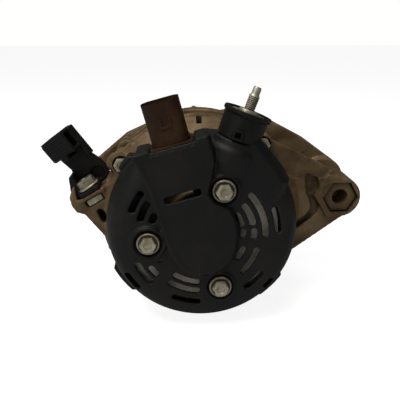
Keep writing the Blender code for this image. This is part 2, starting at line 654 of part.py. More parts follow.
def stator():
    """The laminated core with its slots, and one winding whose bars run through them."""
    slot_half = math.degrees(2.6 / AIR_GAP_R)
    pitch = 360 / TEETH
    inside = []
    for index in range(TEETH):
        middle = index * pitch
        inside += [across(middle - pitch / 2, AIR_GAP_R), across(middle - slot_half, AIR_GAP_R)]
        inside += [across(middle - slot_half * AIR_GAP_R / SLOT_R, SLOT_R)]
        inside += [across(middle + slot_half * AIR_GAP_R / SLOT_R, SLOT_R)]
        inside += [across(middle + slot_half, AIR_GAP_R)]
    outside = arc((0, 0), CORE_R, 0, 360 * 47 / 48, 48)
    slab("stator_core", [outside, inside], *CORE_Y, material="lamination_steel")
    rear = [(54.2, CORE_Y[0] - GAP), (54.2, 42.8), (49.3, 42.8), (49.3, CORE_Y[0] - GAP)]
    winding = turned("stator_winding", rear, 24, material="enamelled_copper")
    joined = helpers("winding_joined")
    ring("front_ring", 54.2, 49.3, CORE_Y[1] + GAP, 89.8, 24, owner=joined)
    for index in range(TEETH):
        turn = Matrix.Rotation(math.radians(90 - index * pitch), 4, "Y")
        block("bar", (-2.0, CORE_Y[0] - 2, 50.0), (2.0, CORE_Y[1] + 2, 53.8), turn, owner=joined)
    combine(winding, "UNION", joined)


CLAWS = 8
POLE_DISC_R = 37.0


def claw(name, root_y, tip_y, angle, owner):
    """One pole finger: a cube drawn into a wedge that thins towards its tip."""
    shape = bmesh.new()
    bmesh.ops.create_cube(shape, size=2.0)
    for vert in shape.verts:
        tip = vert.co.y > 0
        outer = vert.co.z > 0
        half_width = (3.6 if tip else 8.0) * (1.0 if outer else 0.92)
        height = (47.3 if tip else 47.2) if outer else (44.4 if tip else 35.0)
        vert.co = (vert.co.x * half_width * MM, (tip_y if tip else root_y) * MM, height * MM)
    bmesh.ops.recalc_face_normals(shape, faces=shape.faces)
    mesh = bpy.data.meshes.new(name)
    shape.to_mesh(mesh)
    shape.free()
    return place(name, mesh, Matrix.Rotation(math.radians(angle), 4, "Y"), owner=owner)


def rotor():
    """The turning assembly: shaft, claw poles round the field coil, fans, slip rings and pulley."""
    shaft = [(0, SHAFT_END_Y), (6.8, SHAFT_END_Y), (6.8, 124.1), (7.6, 124.1), (7.6, 107.1), (8.5, 107.1)]
    shaft += [(8.5, 90.3), (9.0, 90.3), (9.0, 50.2), (8.4, 50.2), (8.4, 41.8), (7.4, 41.8)]
    shaft += [(7.4, 24.4), (4.5, 24.4), (4.5, 6.0), (0, 6.0)]
    turned("rotor_shaft", shaft, 20, material="bare_steel")

    middle = (REAR_POLE_Y + FRONT_POLE_Y) / 2
    disc = 10.0
    for name, back, front, core, near, turn in (
        ("rear_claw_pole", REAR_POLE_Y, REAR_POLE_Y + disc, middle - GAP / 2, True, 0.0),
        ("front_claw_pole", FRONT_POLE_Y - disc, FRONT_POLE_Y, middle + GAP / 2, False, 180 / CLAWS),
    ):
        if near:
            profile = [(25.0, core), (25.0, front), (POLE_DISC_R, front), (POLE_DISC_R, back)]
            profile += [(9.3, back), (9.3, core)]
        else:
            profile = [(POLE_DISC_R, front), (POLE_DISC_R, back), (25.0, back), (25.0, core)]
            profile += [(9.3, core), (9.3, front)]
        pole = turned(name, profile, 32, material="bare_steel")
        joined = helpers(name + "_claws")
        for index in range(CLAWS):
            ends = (back, FRONT_POLE_Y - 2.4) if near else (front, REAR_POLE_Y + 2.4)
            claw("claw", *ends, turn + 360 / CLAWS * index, joined)
        combine(pole, "UNION", joined)
    ring("field_coil", 34.4, 25.4, REAR_POLE_Y + disc + GAP, FRONT_POLE_Y - disc - GAP, 32,
         material="enamelled_copper")

    fan("rear_fan", (REAR_POLE_Y - 1.5, REAR_POLE_Y - GAP), 43.0, 27.0, 40.0)
    fan("front_fan", (FRONT_POLE_Y + GAP, FRONT_POLE_Y + 1.5), 95.4, 33.0, 45.0)

    ring("slip_ring_sleeve", 6.2, 4.8, 7.0, 24.0, 16, material="black_plastic")
    for index, station in enumerate(BRUSH_STATIONS, 1):
        ring(f"slip_ring_{index}", SLIP_RING_R, 6.5, station - 2.8, station + 2.8, 24, material="copper")


def fan(name, disc, blade_end, blade_in, blade_out):
    """A pressed disc fan whose bent blades stand off the pole face."""
    low, high = disc
    obj = ring(name, 46.0, 11.5, low, high, 32, material="bare_steel")
    joined = helpers(name + "_blades")
    for index in range(8):
        turn = Matrix.Rotation(math.tau * index / 8, 4, "Y")
        lean = Matrix.Translation((0, 0, blade_in * MM)) @ Matrix.Rotation(math.radians(28), 4, "Y")
        reach = blade_out - blade_in
        middle = (low + high) / 2
        block("blade", (-0.6, min(middle, blade_end), 0.0), (0.6, max(middle, blade_end), reach),
              turn @ lean, owner=joined)
    combine(obj, "UNION", joined)


RIB_PITCH = 3.56
RIBS = 6
GROOVE_DEPTH = 2.6
PULLEY_R = 27.0


def pulley():
    """A six-rib belt pulley with a dished front, and the nut that holds it."""
    low, high = PULLEY_Y
    flange = (high - low - RIBS * RIB_PITCH) / 2
    outline = [(PULLEY_R + 1.5, high), (PULLEY_R + 1.5, high - flange + 1.2), (PULLEY_R, high - flange)]
    for index in range(RIBS):
        top = high - flange - index * RIB_PITCH
        outline += [(PULLEY_R - GROOVE_DEPTH, top - RIB_PITCH / 2), (PULLEY_R, top - RIB_PITCH)]
    outline += [(PULLEY_R + 1.5, low + flange - 1.2), (PULLEY_R + 1.5, low), (22.0, low), (21.0, low + 4.0)]
    outline += [(12.6, low + 4.0), (12.2, 107.3), (7.9, 107.3), (7.9, 123.8), (21.0, 123.8), (22.0, high)]
    turned("pulley", outline, 18, material="pulley_steel")
    nut = hexagon("pulley_nut", 22.0, 124.4, 133.5, material="zinc_steel")
    thread = helpers("nut_thread")
    rod("thread", 7.1, 120.0, 140.0, 24, owner=thread)
    combine(nut, "DIFFERENCE", thread)


# ---------------------------------------------------------------- harness clip on the side ear

def harness_clip():
    """A moulded holder for a plug: a ribbed sleeve on an arm, bolted to the ear's slanted seat."""
    seat = seat_frame()
    slope = Matrix.Rotation(math.radians(-SLEEVE_SLOPE), 4, "Y")
    sleeve_frame = Matrix.Translation(Vector(SLEEVE) * MM) @ slope
    arm = [(-90.0, 36.0), (-82.0, 50.0), (-70.6, 40.6), (-62.7, 34.6), (-59.4, 28.6), (-60.2, 24.0)]
    arm += [(-63.2, 21.6), (-76.0, 14.4), (-82.0, 19.0), (-82.8, 29.0)]
    clip = slab("harness_clip", [arm], 51.4, 54.2, material="black_plastic")
    joined, cut = helpers("clip_joined"), helpers("clip_cut")
    block("clip_sleeve", (-10.0, -5.0, -7.0), (10.0, 7.4, 7.0), sleeve_frame, owner=joined)
    block("clip_end_plate", (9.0, 3.0, -15.0), (11.0, 9.0, 6.8), sleeve_frame, owner=joined)
    block("clip_tab", (-6.6, -7.4, GAP), (7.6, 10.0, 2.9), seat, owner=joined)
    block("clip_mouth", (-7.0, -3.0, -5.0), (13.0, 2.4, 5.0), sleeve_frame, owner=cut)
    rod("clip_hole", 3.4, -3.0, 6.0, 16, seat, owner=cut)
    combine(clip, "UNION", joined)
    combine(clip, "DIFFERENCE", cut)
    flip = seat @ Matrix.Rotation(math.pi, 4, "X")
    flange_bolt("clip_bolt", flip, 11.0, (-9.2, -4.6), (7.2, 1.4), 2.8, 10.5)
    nut = block("clip_nut", (-5.4, -5.4, -7.2), (5.4, 4.2, -3.0), seat, material="zinc_steel")
    thread = helpers("clip_nut_thread")
    rod("thread", 3.1, -12.0, 0.0, 16, seat, owner=thread)
    combine(nut, "DIFFERENCE", thread)


rear_cover()
cover_bolts()
connector()
regulator_body()
output_terminal()
rectifier()
brushes()
rear_bracket()
front_bracket()
bracket_fixings()
bearing("rear", 17.5, 7.8, 30.6, 41.2, 3.0, 7)
bearing("front", 23.5, 8.8, 92.9, 106.7, 4.4, 7)
stator()
rotor()
pulley()
harness_clip()
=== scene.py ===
"""Looks of a car alternator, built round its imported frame.

Lengths are in millimetres and MM turns them into metres. The shaft lies on Y, from the rear
cover towards the belt pulley, +X is right and +Z is up as the rear cover is looked at.
"""

import math

import bpy
from mathutils import Matrix, Vector


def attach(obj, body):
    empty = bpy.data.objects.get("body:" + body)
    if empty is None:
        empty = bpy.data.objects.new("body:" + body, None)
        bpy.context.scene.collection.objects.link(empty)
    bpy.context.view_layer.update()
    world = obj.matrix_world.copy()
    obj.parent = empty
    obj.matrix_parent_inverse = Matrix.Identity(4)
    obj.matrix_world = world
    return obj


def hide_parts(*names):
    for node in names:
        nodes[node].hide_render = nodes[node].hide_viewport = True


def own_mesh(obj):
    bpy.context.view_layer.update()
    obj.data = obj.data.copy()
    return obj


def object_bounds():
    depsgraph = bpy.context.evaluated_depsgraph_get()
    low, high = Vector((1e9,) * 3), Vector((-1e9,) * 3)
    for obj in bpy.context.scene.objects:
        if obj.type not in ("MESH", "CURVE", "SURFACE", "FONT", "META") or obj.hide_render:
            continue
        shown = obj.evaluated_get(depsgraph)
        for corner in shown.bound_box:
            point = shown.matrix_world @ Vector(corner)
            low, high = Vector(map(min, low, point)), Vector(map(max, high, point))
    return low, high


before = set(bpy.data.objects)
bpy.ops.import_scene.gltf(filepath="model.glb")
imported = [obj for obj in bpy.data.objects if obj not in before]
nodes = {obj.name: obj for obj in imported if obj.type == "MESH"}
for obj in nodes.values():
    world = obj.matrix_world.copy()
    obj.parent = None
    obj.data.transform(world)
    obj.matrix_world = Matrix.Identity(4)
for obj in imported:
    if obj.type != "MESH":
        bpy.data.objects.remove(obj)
cad_box = [list(corner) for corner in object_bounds()]
bpy.ops.object.select_all(action="DESELECT")


# ---------------------------------------- studio
# A white floor and a white room, both dim as light sources so that dark plastic stays dark, one
# large soft lamp overhead and a weak one in front. The camera looks down on the rear cover.

MM = 0.001
SUBJECT = Vector((-1.3, 20.0, 17.6)) * MM
EYE = Vector((-16.1, -263.3, 115.3)) * MM
LENS = 44.46
FLOOR_SIZE = 12.0


def linear(colour):
    """An sRGB hex colour as linear red, green, blue and alpha."""
    parts = [int(colour[i : i + 2], 16) / 255 for i in (1, 3, 5)]
    return (*(p / 12.92 if p <= 0.04045 else ((p + 0.055) / 1.055) ** 2.4 for p in parts), 1.0)


def wired(tree, node, *links, **settings):
    """Gives a shader node its own or its inputs' values, and links to its inputs by name.

    A link comes from an output, or from the first output of another node.
    """
    for name, value in settings.items():
        if name == "stops":
            ramp = node.color_ramp.elements
            for _ in value[2:]:
                ramp.new(0.5)
            for stop, (position, colour) in zip(ramp, value):
                stop.position, stop.color = position, linear(colour)
        elif hasattr(node, name):
            setattr(node, name, value)
        else:
            node.inputs[name.replace("_", " ")].default_value = value
    for source, name in links:
        tree.links.new(source.outputs[0] if hasattr(source, "outputs") else source, node.inputs[name])
    return node


def add(tree, kind, *links, **settings):
    """Adds a shader node of this kind."""
    return wired(tree, tree.nodes.new("ShaderNode" + kind), *links, **settings)


def finish(name):
    """A new material, as its node tree, its shader and the coordinates its patterns read."""
    made = bpy.data.materials.new(name)
    made.use_nodes = True
    tree = made.node_tree
    return made, tree, tree.nodes["Principled BSDF"], add(tree, "TexCoord").outputs["Object"]


def mottled(tree, where, stops, **noise):
    """A noise pattern, and a ramp of colours over it."""
    patch = add(tree, "TexNoise", (where, "Vector"), **noise)
    return patch, add(tree, "ValToRGB", (patch, "Fac"), stops=stops)


def aimed(thing, place, target):
    """Adds a lamp or camera at a place, with its -Z towards the target and its X level."""
    made = bpy.data.objects.new(thing.name, thing)
    bpy.context.scene.collection.objects.link(made)
    made.location = place
    made.rotation_euler = (Vector(target) - Vector(place)).to_track_quat("-Z", "Y").to_euler()
    return made


camera = bpy.data.cameras.new("camera")
camera.sensor_width = 36.0
camera.lens = LENS
camera.clip_start = 0.01
bpy.context.scene.camera = aimed(camera, EYE, SUBJECT)

for name, width, power, place in (
    ("softbox", 0.7, 7.4, (-0.32, -0.22, 1.0)),
    ("front_box", 0.5, 0.95, (-0.72, -0.78, 0.36)),
):
    lamp = bpy.data.lights.new(name, "AREA")
    lamp.size = width
    lamp.energy = power
    aimed(lamp, place, SUBJECT)

world = bpy.data.worlds.new("room")
bpy.context.scene.world = world
world.use_nodes = True
tree = world.node_tree
seen = add(tree, "LightPath")
glow = add(tree, "MapRange", (seen.outputs["Is Camera Ray"], "Value"), To_Min=0.1, To_Max=1.05)
wired(tree, tree.nodes["Background"], (glow, "Strength"), Color=linear("#fbfaf8"))

bpy.ops.mesh.primitive_plane_add(size=FLOOR_SIZE, location=(0, 0, cad_box[0][2]))
floor = bpy.context.object
floor.name = "floor"
floor.select_set(False)
paper, tree, shader, where = finish("white_paper")
wired(tree, shader, Base_Color=linear("#c9c9c9"), Roughness=0.9)
seen = add(tree, "LightPath")
glow = add(tree, "MapRange", (seen.outputs["Is Camera Ray"], "Value"), To_Min=0.0, To_Max=0.88)
wired(tree, shader, (glow, "Emission Strength"), Emission_Color=linear("#ffffff"))
floor.data.materials.append(paper)
bpy.context.scene.view_settings.view_transform = "Standard"


# ---------------------------------------- rear cover
# Moulded glass-filled nylon, 2.5 mm thick: a domed cap with arc slots, a raised flat panel over
# the regulator, and a broad shoulder drawn up into a neck for the output stud. It is held by
# three flanged screws in recessed bosses, and clipped at two tabs low on its rim.



def turned(angle, axis):
    """A turn about an axis, in degrees."""
    return Matrix.Rotation(math.radians(angle), 4, axis)


def moved(x, y, z):
    """A move, in millimetres."""
    return Matrix.Translation((x * MM, y * MM, z * MM))


COVER_RIM = 31.8
TAB_REACH = 62.2
COVER_VOXEL = 0.76
COVER_OUTER = ((0, COVER_RIM), (59.5, COVER_RIM), (59.4, 27.0), (59.0, 22.0), (58.2, 17.0), (56.9, 12.6),
               (54.9, 9.2), (52.2, 6.8), (48.4, 5.3), (44.0, 4.6), (0, 4.2))
COVER_INNER = ((0, COVER_RIM + 1), (57.1, COVER_RIM + 1), (56.9, 26.0), (56.2, 20.0), (54.6, 14.4),
               (52.4, 11.0), (50.0, 9.1), (46.4, 7.7), (43.0, 7.0), (0, 6.6))
PANEL = ((-38.3, 51.0), (-35.2, 45.4), (-31.7, 37.9), (-29.1, 32.0), (-27.1, 24.9), (-24.5, 15.9),
         (-22.4, 7.9), (-19.8, -1.6), (-16.4, -9.9), (-11.8, -16.6), (-5.6, -20.8), (0.6, -22.4),
         (6.4, -21.4), (11.6, -18.2), (15.8, -13.0), (18.4, -5.6), (19.0, 2.6), (18.0, 10.7),
         (14.4, 18.1), (6.0, 21.5), (2.0, 27.5), (3.8, 36.0), (5.6, 44.8), (4.9, 50.4), (2.6, 57.0),
         (1.6, 61.4), (-6.0, 60.4), (-8.4, 58.6), (-30.4, 52.6))
COVER_SCREWS = ((11.7, 28.3), (-32.7, -3.4), (10.3, -32.8))
# Arc slots: middle radius, start angle, end angle
COVER_SLOTS = (
    (23.6, -3, 11), (23.6, 13, 37), (30.2, -5, 9), (30.2, 11.5, 41), (37.0, -2, 45), (44.6, 1, 23),
    (25.2, -38, -16), (33.6, -47, -14), (43.2, -54, -34), (52.3, -44, -35), (30.4, -127, -94),
    (36.2, -126, -93), (44.0, -116, -92), (37.2, -150, -137), (43.2, -158, -136), (52.4, -153, -138),
    (30.0, -151, -148), (29.6, -140, -137), (31.6, 152, 164), (38.4, 145, 165), (44.8, 141, 160),
)
SLOT_WIDTH = 3.7
REGULATOR = turned(-15, "Y")
TERMINAL = moved(0, 16, 0) @ turned(20, "Y")
SHAFT = turned(-90, "X")


def stood(x, z):
    """A place whose local Z runs along the shaft's direction, at (x, z) across it."""
    return moved(x, 0, z) @ SHAFT


def ringed(name, corners, fill):
    """A loop of edges through these corners, left selected in edit mode."""
    bpy.ops.mesh.primitive_circle_add(vertices=len(corners), radius=MM, fill_type=fill)
    piece = bpy.context.object
    piece.name = name
    for vertex, corner in zip(piece.data.vertices, corners):
        vertex.co = Vector(corner) * MM
    bpy.ops.object.mode_set(mode="EDIT")
    bpy.ops.mesh.select_all(action="SELECT")
    return piece


def closed(piece, place=Matrix()):
    """Closes the poles and seams of the piece in edit mode, turns its faces out and puts it in place."""
    bpy.ops.mesh.select_all(action="SELECT")
    bpy.ops.mesh.remove_doubles(threshold=0.000002)
    bpy.ops.mesh.delete_loose()
    bpy.ops.mesh.select_all(action="SELECT")
    bpy.ops.mesh.normals_make_consistent(inside=False)
    bpy.ops.object.mode_set(mode="OBJECT")
    piece.data.transform(place)
    piece.select_set(False)
    return piece


def spun(name, outline, place=SHAFT, steps=96):
    """A turned piece: a (radius, height) outline spun about the local Z."""
    piece = ringed(name, [(radius, 0, height) for radius, height in outline], "NOTHING")
    bpy.ops.mesh.spin(steps=steps, angle=math.tau, center=(0, 0, 0), axis=(0, 0, 1))
    return closed(piece, place)


def slab(name, outline, near, far, place=Matrix(), spread=1.0):
    """A flat (x, z) outline drawn along Y from near to far, its far face made larger by the spread."""
    piece = ringed(name, [(x, near, z) for x, z in outline], "NGON")
    bpy.ops.mesh.extrude_region_move(TRANSFORM_OT_translate={"value": (0, (far - near) * MM, 0)})
    if spread != 1.0:
        middle = [sum(point[axis] for point in outline) / len(outline) * MM for axis in (0, 1)]
        bpy.ops.transform.resize(value=(spread, 1, spread), center_override=(middle[0], 0, middle[1]))
    return closed(piece, place)


def block(name, low, high, place=Matrix(), edge=0.0):
    """A cube drawn out between two corners, with its edges bevelled."""
    bpy.ops.mesh.primitive_cube_add(size=1.0)
    piece = bpy.context.object
    piece.name = name
    for vertex in piece.data.vertices:
        vertex.co = [(b if part > 0 else a) * MM for part, a, b in zip(vertex.co, low, high)]
    bpy.ops.object.mode_set(mode="EDIT")
    bpy.ops.mesh.select_all(action="SELECT")
    if edge:
        bpy.ops.mesh.bevel(offset=edge * MM, segments=2, affect="EDGES")
    return closed(piece, place)


def rod(name, radius, low, high, place=SHAFT, tip=None, sides=48, turn=0.0):
    """A round or many-sided bar along local Z, tapered where a tip radius is given."""
    bpy.ops.mesh.primitive_cone_add(
        vertices=sides, radius1=radius * MM, radius2=(radius if tip is None else tip) * MM,
        depth=(high - low) * MM,
    )
    piece = bpy.context.object
    piece.name = name
    bpy.ops.object.mode_set(mode="EDIT")
    lift = moved(0, 0, (low + high) / 2) @ turned(turn, "Z")
    return closed(piece, place @ lift)


def arc(centre, radius, start, end, count):
    """Points along an arc, in degrees from +X towards +Z."""
    turns = [math.radians(start + (end - start) * i / (count - 1)) for i in range(count)]
    return [(centre[0] + radius * math.cos(a), centre[1] + radius * math.sin(a)) for a in turns]


def arc_slot(radius, start, end):
    """The outline of an arc-shaped slot about the shaft, with its ends drawn to a blunt point."""
    half = SLOT_WIDTH / 2
    cap = math.degrees(half / radius) * 0.35
    outer = arc((0, 0), radius + half, start + cap, end - cap, 9)
    inner = arc((0, 0), radius - half, end - cap, start + cap, 9)
    tip = arc((0, 0), radius, end, start, 2)
    return [*outer, tip[0], *inner, tip[1]]


def worked(piece, kind, **settings):
    """Gives a piece a modifier with these settings and applies it."""
    bpy.context.view_layer.objects.active = piece
    step = piece.modifiers.new(kind.lower(), kind)
    for name, value in settings.items():
        setattr(step, name, value)
    bpy.ops.object.modifier_apply(modifier=step.name)


def joined(name, pieces):
    """Several pieces made one object, where they may overlap."""
    for piece in pieces:
        piece.select_set(True)
    bpy.context.view_layer.objects.active = pieces[0]
    bpy.ops.object.join()
    pieces[0].name = name
    pieces[0].select_set(False)
    return pieces[0]


def carved(piece, cutters, operation="DIFFERENCE"):
    """Cuts shapes out of a piece, or joins them into it, and removes them."""
    tool = joined("tool", cutters)
    worked(piece, "BOOLEAN", operation=operation, object=tool, solver="EXACT", use_self=True)
    bpy.data.objects.remove(tool, do_unlink=True)
    return piece


def bored(piece, cutters):
    """Cuts simple shapes out of a dense, closed piece one by one, which is quick."""
    for tool in cutters:
        worked(piece, "BOOLEAN", operation="DIFFERENCE", object=tool, solver="MANIFOLD")
        bpy.data.objects.remove(tool, do_unlink=True)


def copied(piece, places):
    """The piece and its copies, each with its own mesh, one at each place."""
    copies = []
    for place in places[1:]:
        copy = piece.copy()
        copy.data = piece.data.copy()
        bpy.context.scene.collection.objects.link(copy)
        copy.data.transform(place)
        copies.append(copy)
    piece.data.transform(places[0])
    return [piece, *copies]


def moulded(piece, voxel, rounds):
    """Melts a piece's overlapping solids into one skin with the soft edges of a casting."""
    worked(piece, "REMESH", mode="VOXEL", voxel_size=voxel * MM)
    worked(piece, "SMOOTH", factor=0.5, iterations=rounds)


def fitted(piece, material, slot, body, *stands_for, angle=None):
    """Gives a finished piece its material, its body and the nodes it stands for. The slot is not used."""
    piece.data.materials.clear()
    piece.data.materials.append(material)
    piece.select_set(True)
    bpy.context.view_layer.objects.active = piece
    if angle:
        bpy.ops.object.shade_smooth_by_angle(angle=math.radians(angle))
    else:
        bpy.ops.object.shade_smooth()
    piece.select_set(False)
    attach(piece, body)
    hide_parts(*stands_for)


# Glass-filled nylon, moulded and weathered: charcoal with a satin sheen, dust in soft patches and
# a fine moulded grain, drawn at 0.9 mm because the real 0.2 mm grain is too fine to show.
nylon, tree, shader, where = finish("moulded_nylon_cover")
patch, tone = mottled(
    tree, where, ((0.28, "#121314"), (0.5, "#181816"), (0.68, "#24211a"), (0.85, "#302b20")),
    Scale=38.0, Detail=6.0, Roughness=0.62, Distortion=0.6,
)
grain = add(tree, "TexNoise", (where, "Vector"), Scale=1100.0, Detail=2.0)
wear = add(tree, "MapRange", (patch, "Value"), To_Min=0.42, To_Max=0.66)
bump = add(tree, "Bump", (grain, "Height"), Strength=0.16, Distance=0.0002)
wired(tree, shader, (tone, "Base Color"), (wear, "Roughness"), (bump, "Normal"), Specular_IOR_Level=0.32)

shoulder = ((5.6, 46.0), (7.4, 54.0), (12.6, 58.4), (22.0, 60.0), (31.0, 58.0), (37.0, 51.6), (44.6, 42.6),
            (50.2, 33.6), (47.0, 22.0), (30.0, 14.0), (12.0, 20.0))
edge = PANEL[:12]
ridge = [(x - 2.0, z - 1.4) for x, z in edge] + [(x - 0.4, z + 0.2) for x, z in reversed(edge)]
cover = joined("rear_cover_shell", [
    spun("dome", COVER_OUTER),
    slab("panel_ridge", ridge, -0.5, 5.6),
    slab("panel", PANEL, 0.0, 5.4, spread=1.12),
    slab("panel_box", [(-24.0, 58.6), (-22.4, 47.0), (-18.6, 35.0), (-17.0, 24.0), (12.0, 24.0),
                       (14.0, 36.0), (17.4, 44.0), (17.8, 50.0), (17.2, 58.6)], 4.0, 25.0, REGULATOR),
    slab("shoulder", shoulder, 7.4, COVER_RIM, spread=1.03),
    slab("shoulder_crown", [(x * 0.8 + 5.0, z * 0.84 + 4.4) for x, z in shoulder], 4.2, 8.0, spread=1.22),
    spun("flare", [(0, 31.0), (22.0, 31.0), (21.0, 37.0), (18.6, 42.0), (16.6, 47.0), (15.4, 52.0),
                   (0, 52.0)], TERMINAL @ Matrix.Diagonal((1, 0.6, 1, 1))),
    spun("neck", [(0, 37.0), (9.0, 37.0), (13.4, 41.0), (15.2, 46.0), (15.6, 52.8), (14.9, 54.6),
                  (14.0, 55.4), (13.7, 59.4), (0, 59.4)], TERMINAL),
    *(slab("tab", arc((0, 0), TAB_REACH, at - 9, at + 9, 7) + arc((0, 0), 56.0, at + 14, at - 14, 7),
           20.0, 31.1, spread=1.03) for at in (215, 317)),
    slab("clip_left", [(-49.6, 38.4), (-43.6, 45.4), (-40.0, 45.2), (-37.6, 38.0), (-42.8, 31.0),
                       (-46.4, 31.4)], 20.0, 31.1),
])
hollow = [
    spun("room", COVER_INNER),
    slab("panel_room", [(-34.6, 50.0), (-30.0, 38.4), (-25.0, 25.0), (-17.4, -2.0), (-10.0, -15.0),
                        (0.6, -19.6), (9.6, -16.2), (15.6, -5.6), (15.6, 9.6), (4.6, 19.6), (-0.6, 27.0),
                        (2.6, 45.0), (0, 56.0)], 2.6, 9.0),
    slab("box_room", [(-21.6, 55.0), (-20.1, 46.0), (-16.6, 34.0), (-14.0, 26.0), (9.4, 26.0), (10.6, 36.0),
                      (14.8, 50.0), (14.6, 55.0)], 3.2, 33.0, REGULATOR),
    rod("neck_room", 12.4, 43.0, 52.0, TERMINAL, tip=12.6),
    rod("collar_room", 11.4, 48.0, 62.0, TERMINAL),
    slab("top_notch", [(-24.6, 36.0), (-24.6, 75.0), (20.4, 75.0), (16.0, 52.0), (16.0, 36.0)], 25.3, 33.0,
         REGULATOR),
    block("top_trim", (-32.0, -4.0, 58.6), (19.5, 26.0, 70.0), REGULATOR),
    block("behind_rim", (-75, COVER_RIM - 0.05, -75), (75, 50, 75)),
]
carved(cover, hollow)
bosses = [rod("boss", 9.6, 3.0, 9.0, stood(x, z)) for x, z in COVER_SCREWS]
bosses.append(spun("boss_ring", [(10.8, 7.0), (10.6, 2.6), (9.8, 1.9), (8.9, 2.6), (8.9, 7.0)],
                   stood(*COVER_SCREWS[1]), 48))
# Two dark walls inside the cover, behind the regulator window and behind the left slots, are painted shade:
# they make those openings read black.
bosses += [block("shade_wall", (-17.0, 6.0, 27.6), (8.0, 24.0, 34.0), REGULATOR),
           block("shade_wall_left", (-44.0, 13.0, 1.0), (-24.0, 16.0, 24.0))]
cover = joined("rear_cover_shell", [cover, *bosses])
openings = [rod("recess", 8.2, -4.0, 4.8, stood(x, z)) for x, z in COVER_SCREWS]
openings += [rod("hole", 2.8, 0.0, 10.0, stood(x, z), sides=24) for x, z in COVER_SCREWS]
openings += [slab("slot", arc_slot(*slot), -2.0, 14.0) for slot in COVER_SLOTS]
openings += [
    block("window", (-15.3, -1.0, 26.6), (6.0, 12.0, 30.8), REGULATOR),
    block("brow_step", (-16.8, -3.0, 55.4), (11.2, 1.1, 70.0), REGULATOR),
    block("brow_line", (-16.2, -3.0, 53.3), (5.4, 0.7, 54.1), REGULATOR),
    block("flange_notch", (-16.3, -1.0, 56.8), (10.7, 26.0, 64.0), REGULATOR),
    block("neck_seam", (-0.35, -18.4, 38.0), (0.35, -12.0, 49.0),
          TERMINAL @ turned(58, "Z")),
]
carved(cover, openings)
moulded(cover, COVER_VOXEL, 2)
fitted(cover, nylon, "cover_plastic", "housing", "rear_cover")


# ---------------------------------------- cover screws
# Zinc-plated flanged hex screws with a chamfered rim and a shallow dish in the head. They lie in
# the cover's recesses and thread into posts cast on the rear bracket.

SCREW_HEX = 8.6
SCREW_FLANGE = ((0, 4.9), (6.6, 4.9), (7.0, 4.4), (6.9, 3.0), (6.5, 2.5), (5.8, 2.7), (5.2, 3.5), (0, 3.7))


def hex_head(name, across_flats, low, high, place, dish=0.5, turn=0.0):
    """A hex head whose outer corners are turned off, with a shallow dish in its outer face."""
    corner, flat = across_flats / math.sqrt(3), across_flats / 2 * 0.96
    head = rod(name, corner, low, high, place, sides=6, turn=turn)
    lathe = [(0, low + dish), (flat * 0.55, low + dish * 0.85), (flat * 0.64, low - 0.2), (flat, low),
             (corner * 1.02, low + (corner - flat) * 0.6), (corner * 1.02, high + 1), (0, high + 1)]
    return carved(head, [spun("lathe", lathe, place, 48)], "INTERSECT")


# Zinc plate over steel, yellowed and dusty: a soft metal glint with dull ochre patches.
zinc, tree, shader, where = finish("zinc_plated_steel")
patch, tone = mottled(tree, where, ((0.3, "#8f8263"), (0.5, "#bdb59c"), (0.7, "#ddd8c8")),
                      Scale=160.0, Detail=5.0, Roughness=0.6)
# Occlusion darkens the screws' recesses and the foot of each head in brown: painted shade, with some grime.
corner = add(tree, "AmbientOcclusion", samples=6, Distance=0.0028)
grime_and_shade = add(tree, "ValToRGB", (corner.outputs["AO"], "Fac"), stops=((0.42, "#4a2f1a"), (0.78, "#ffffff")))
dirt_and_shade_tone = add(tree, "MixRGB", (tone, "Color1"), (grime_and_shade, "Color2"), blend_type="MULTIPLY", Fac=0.95)
wear = add(tree, "MapRange", (patch, "Value"), To_Min=0.55, To_Max=0.34)
fine = add(tree, "TexNoise", (where, "Vector"), Scale=900.0, Detail=3.0)
bump = add(tree, "Bump", (fine, "Height"), Strength=0.2, Distance=0.0001)
wired(tree, shader, (dirt_and_shade_tone, "Base Color"), (wear, "Roughness"), (bump, "Normal"), Metallic=0.6)

for index, (x, z) in enumerate(COVER_SCREWS, 1):
    place = stood(x, z)
    screw = joined(f"cover_screw_{index}", [
        hex_head("head", SCREW_HEX, -0.6, 4.0, place, 0.6, 30.0),
        spun("flange", SCREW_FLANGE, place, 64),
        rod("shank", 2.3, 4.8, 22.0, place, sides=24),
    ])
    fitted(screw, zinc, "zinc_steel", "housing", f"cover_bolt_{index}", angle=35)


# ---------------------------------------- plug socket
# The four-way socket: an oval shell moulded in brown polyester, open at the top, with a small
# U-shaped latch ramp on its rear wall and a flange set into the cover. Four blades stand in it.

SOCKET = turned(-15, "Y") @ moved(-2.8, 10.5, 0)
UPRIGHT = SOCKET @ turned(90, "X")
SOCKET_TOP = 84.2


def oval(width, depth, corner):
    """The outline of a rounded rectangle, wide along X."""
    x, z = width / 2 - corner, depth / 2 - corner
    outline = []
    for start, centre in ((0, (x, z)), (90, (-x, z)), (180, (-x, -z)), (270, (x, -z))):
        outline += arc(centre, corner, start, start + 90, 9)
    return outline


def painted(material, *names):
    """Gives CAD nodes whose shape is right their real finish."""
    for name in names:
        nodes[name].data.materials.clear()
        nodes[name].data.materials.append(material)


# Glass-filled polyester, moulded: dark brown, with lighter rubbed patches.
polyester, tree, shader, where = finish("moulded_brown_polyester")
patch, tone = mottled(tree, where, ((0.3, "#2a1709"), (0.55, "#3d2510"), (0.8, "#52391d")),
                      Scale=70.0, Detail=5.0, Roughness=0.6)
grain = add(tree, "TexNoise", (where, "Vector"), Scale=1300.0, Detail=2.0)
wear = add(tree, "MapRange", (patch, "Value"), To_Min=0.4, To_Max=0.62)
bump = add(tree, "Bump", (grain, "Height"), Strength=0.12, Distance=0.0002)
wired(tree, shader, (tone, "Base Color"), (wear, "Roughness"), (bump, "Normal"), Specular_IOR_Level=0.28)

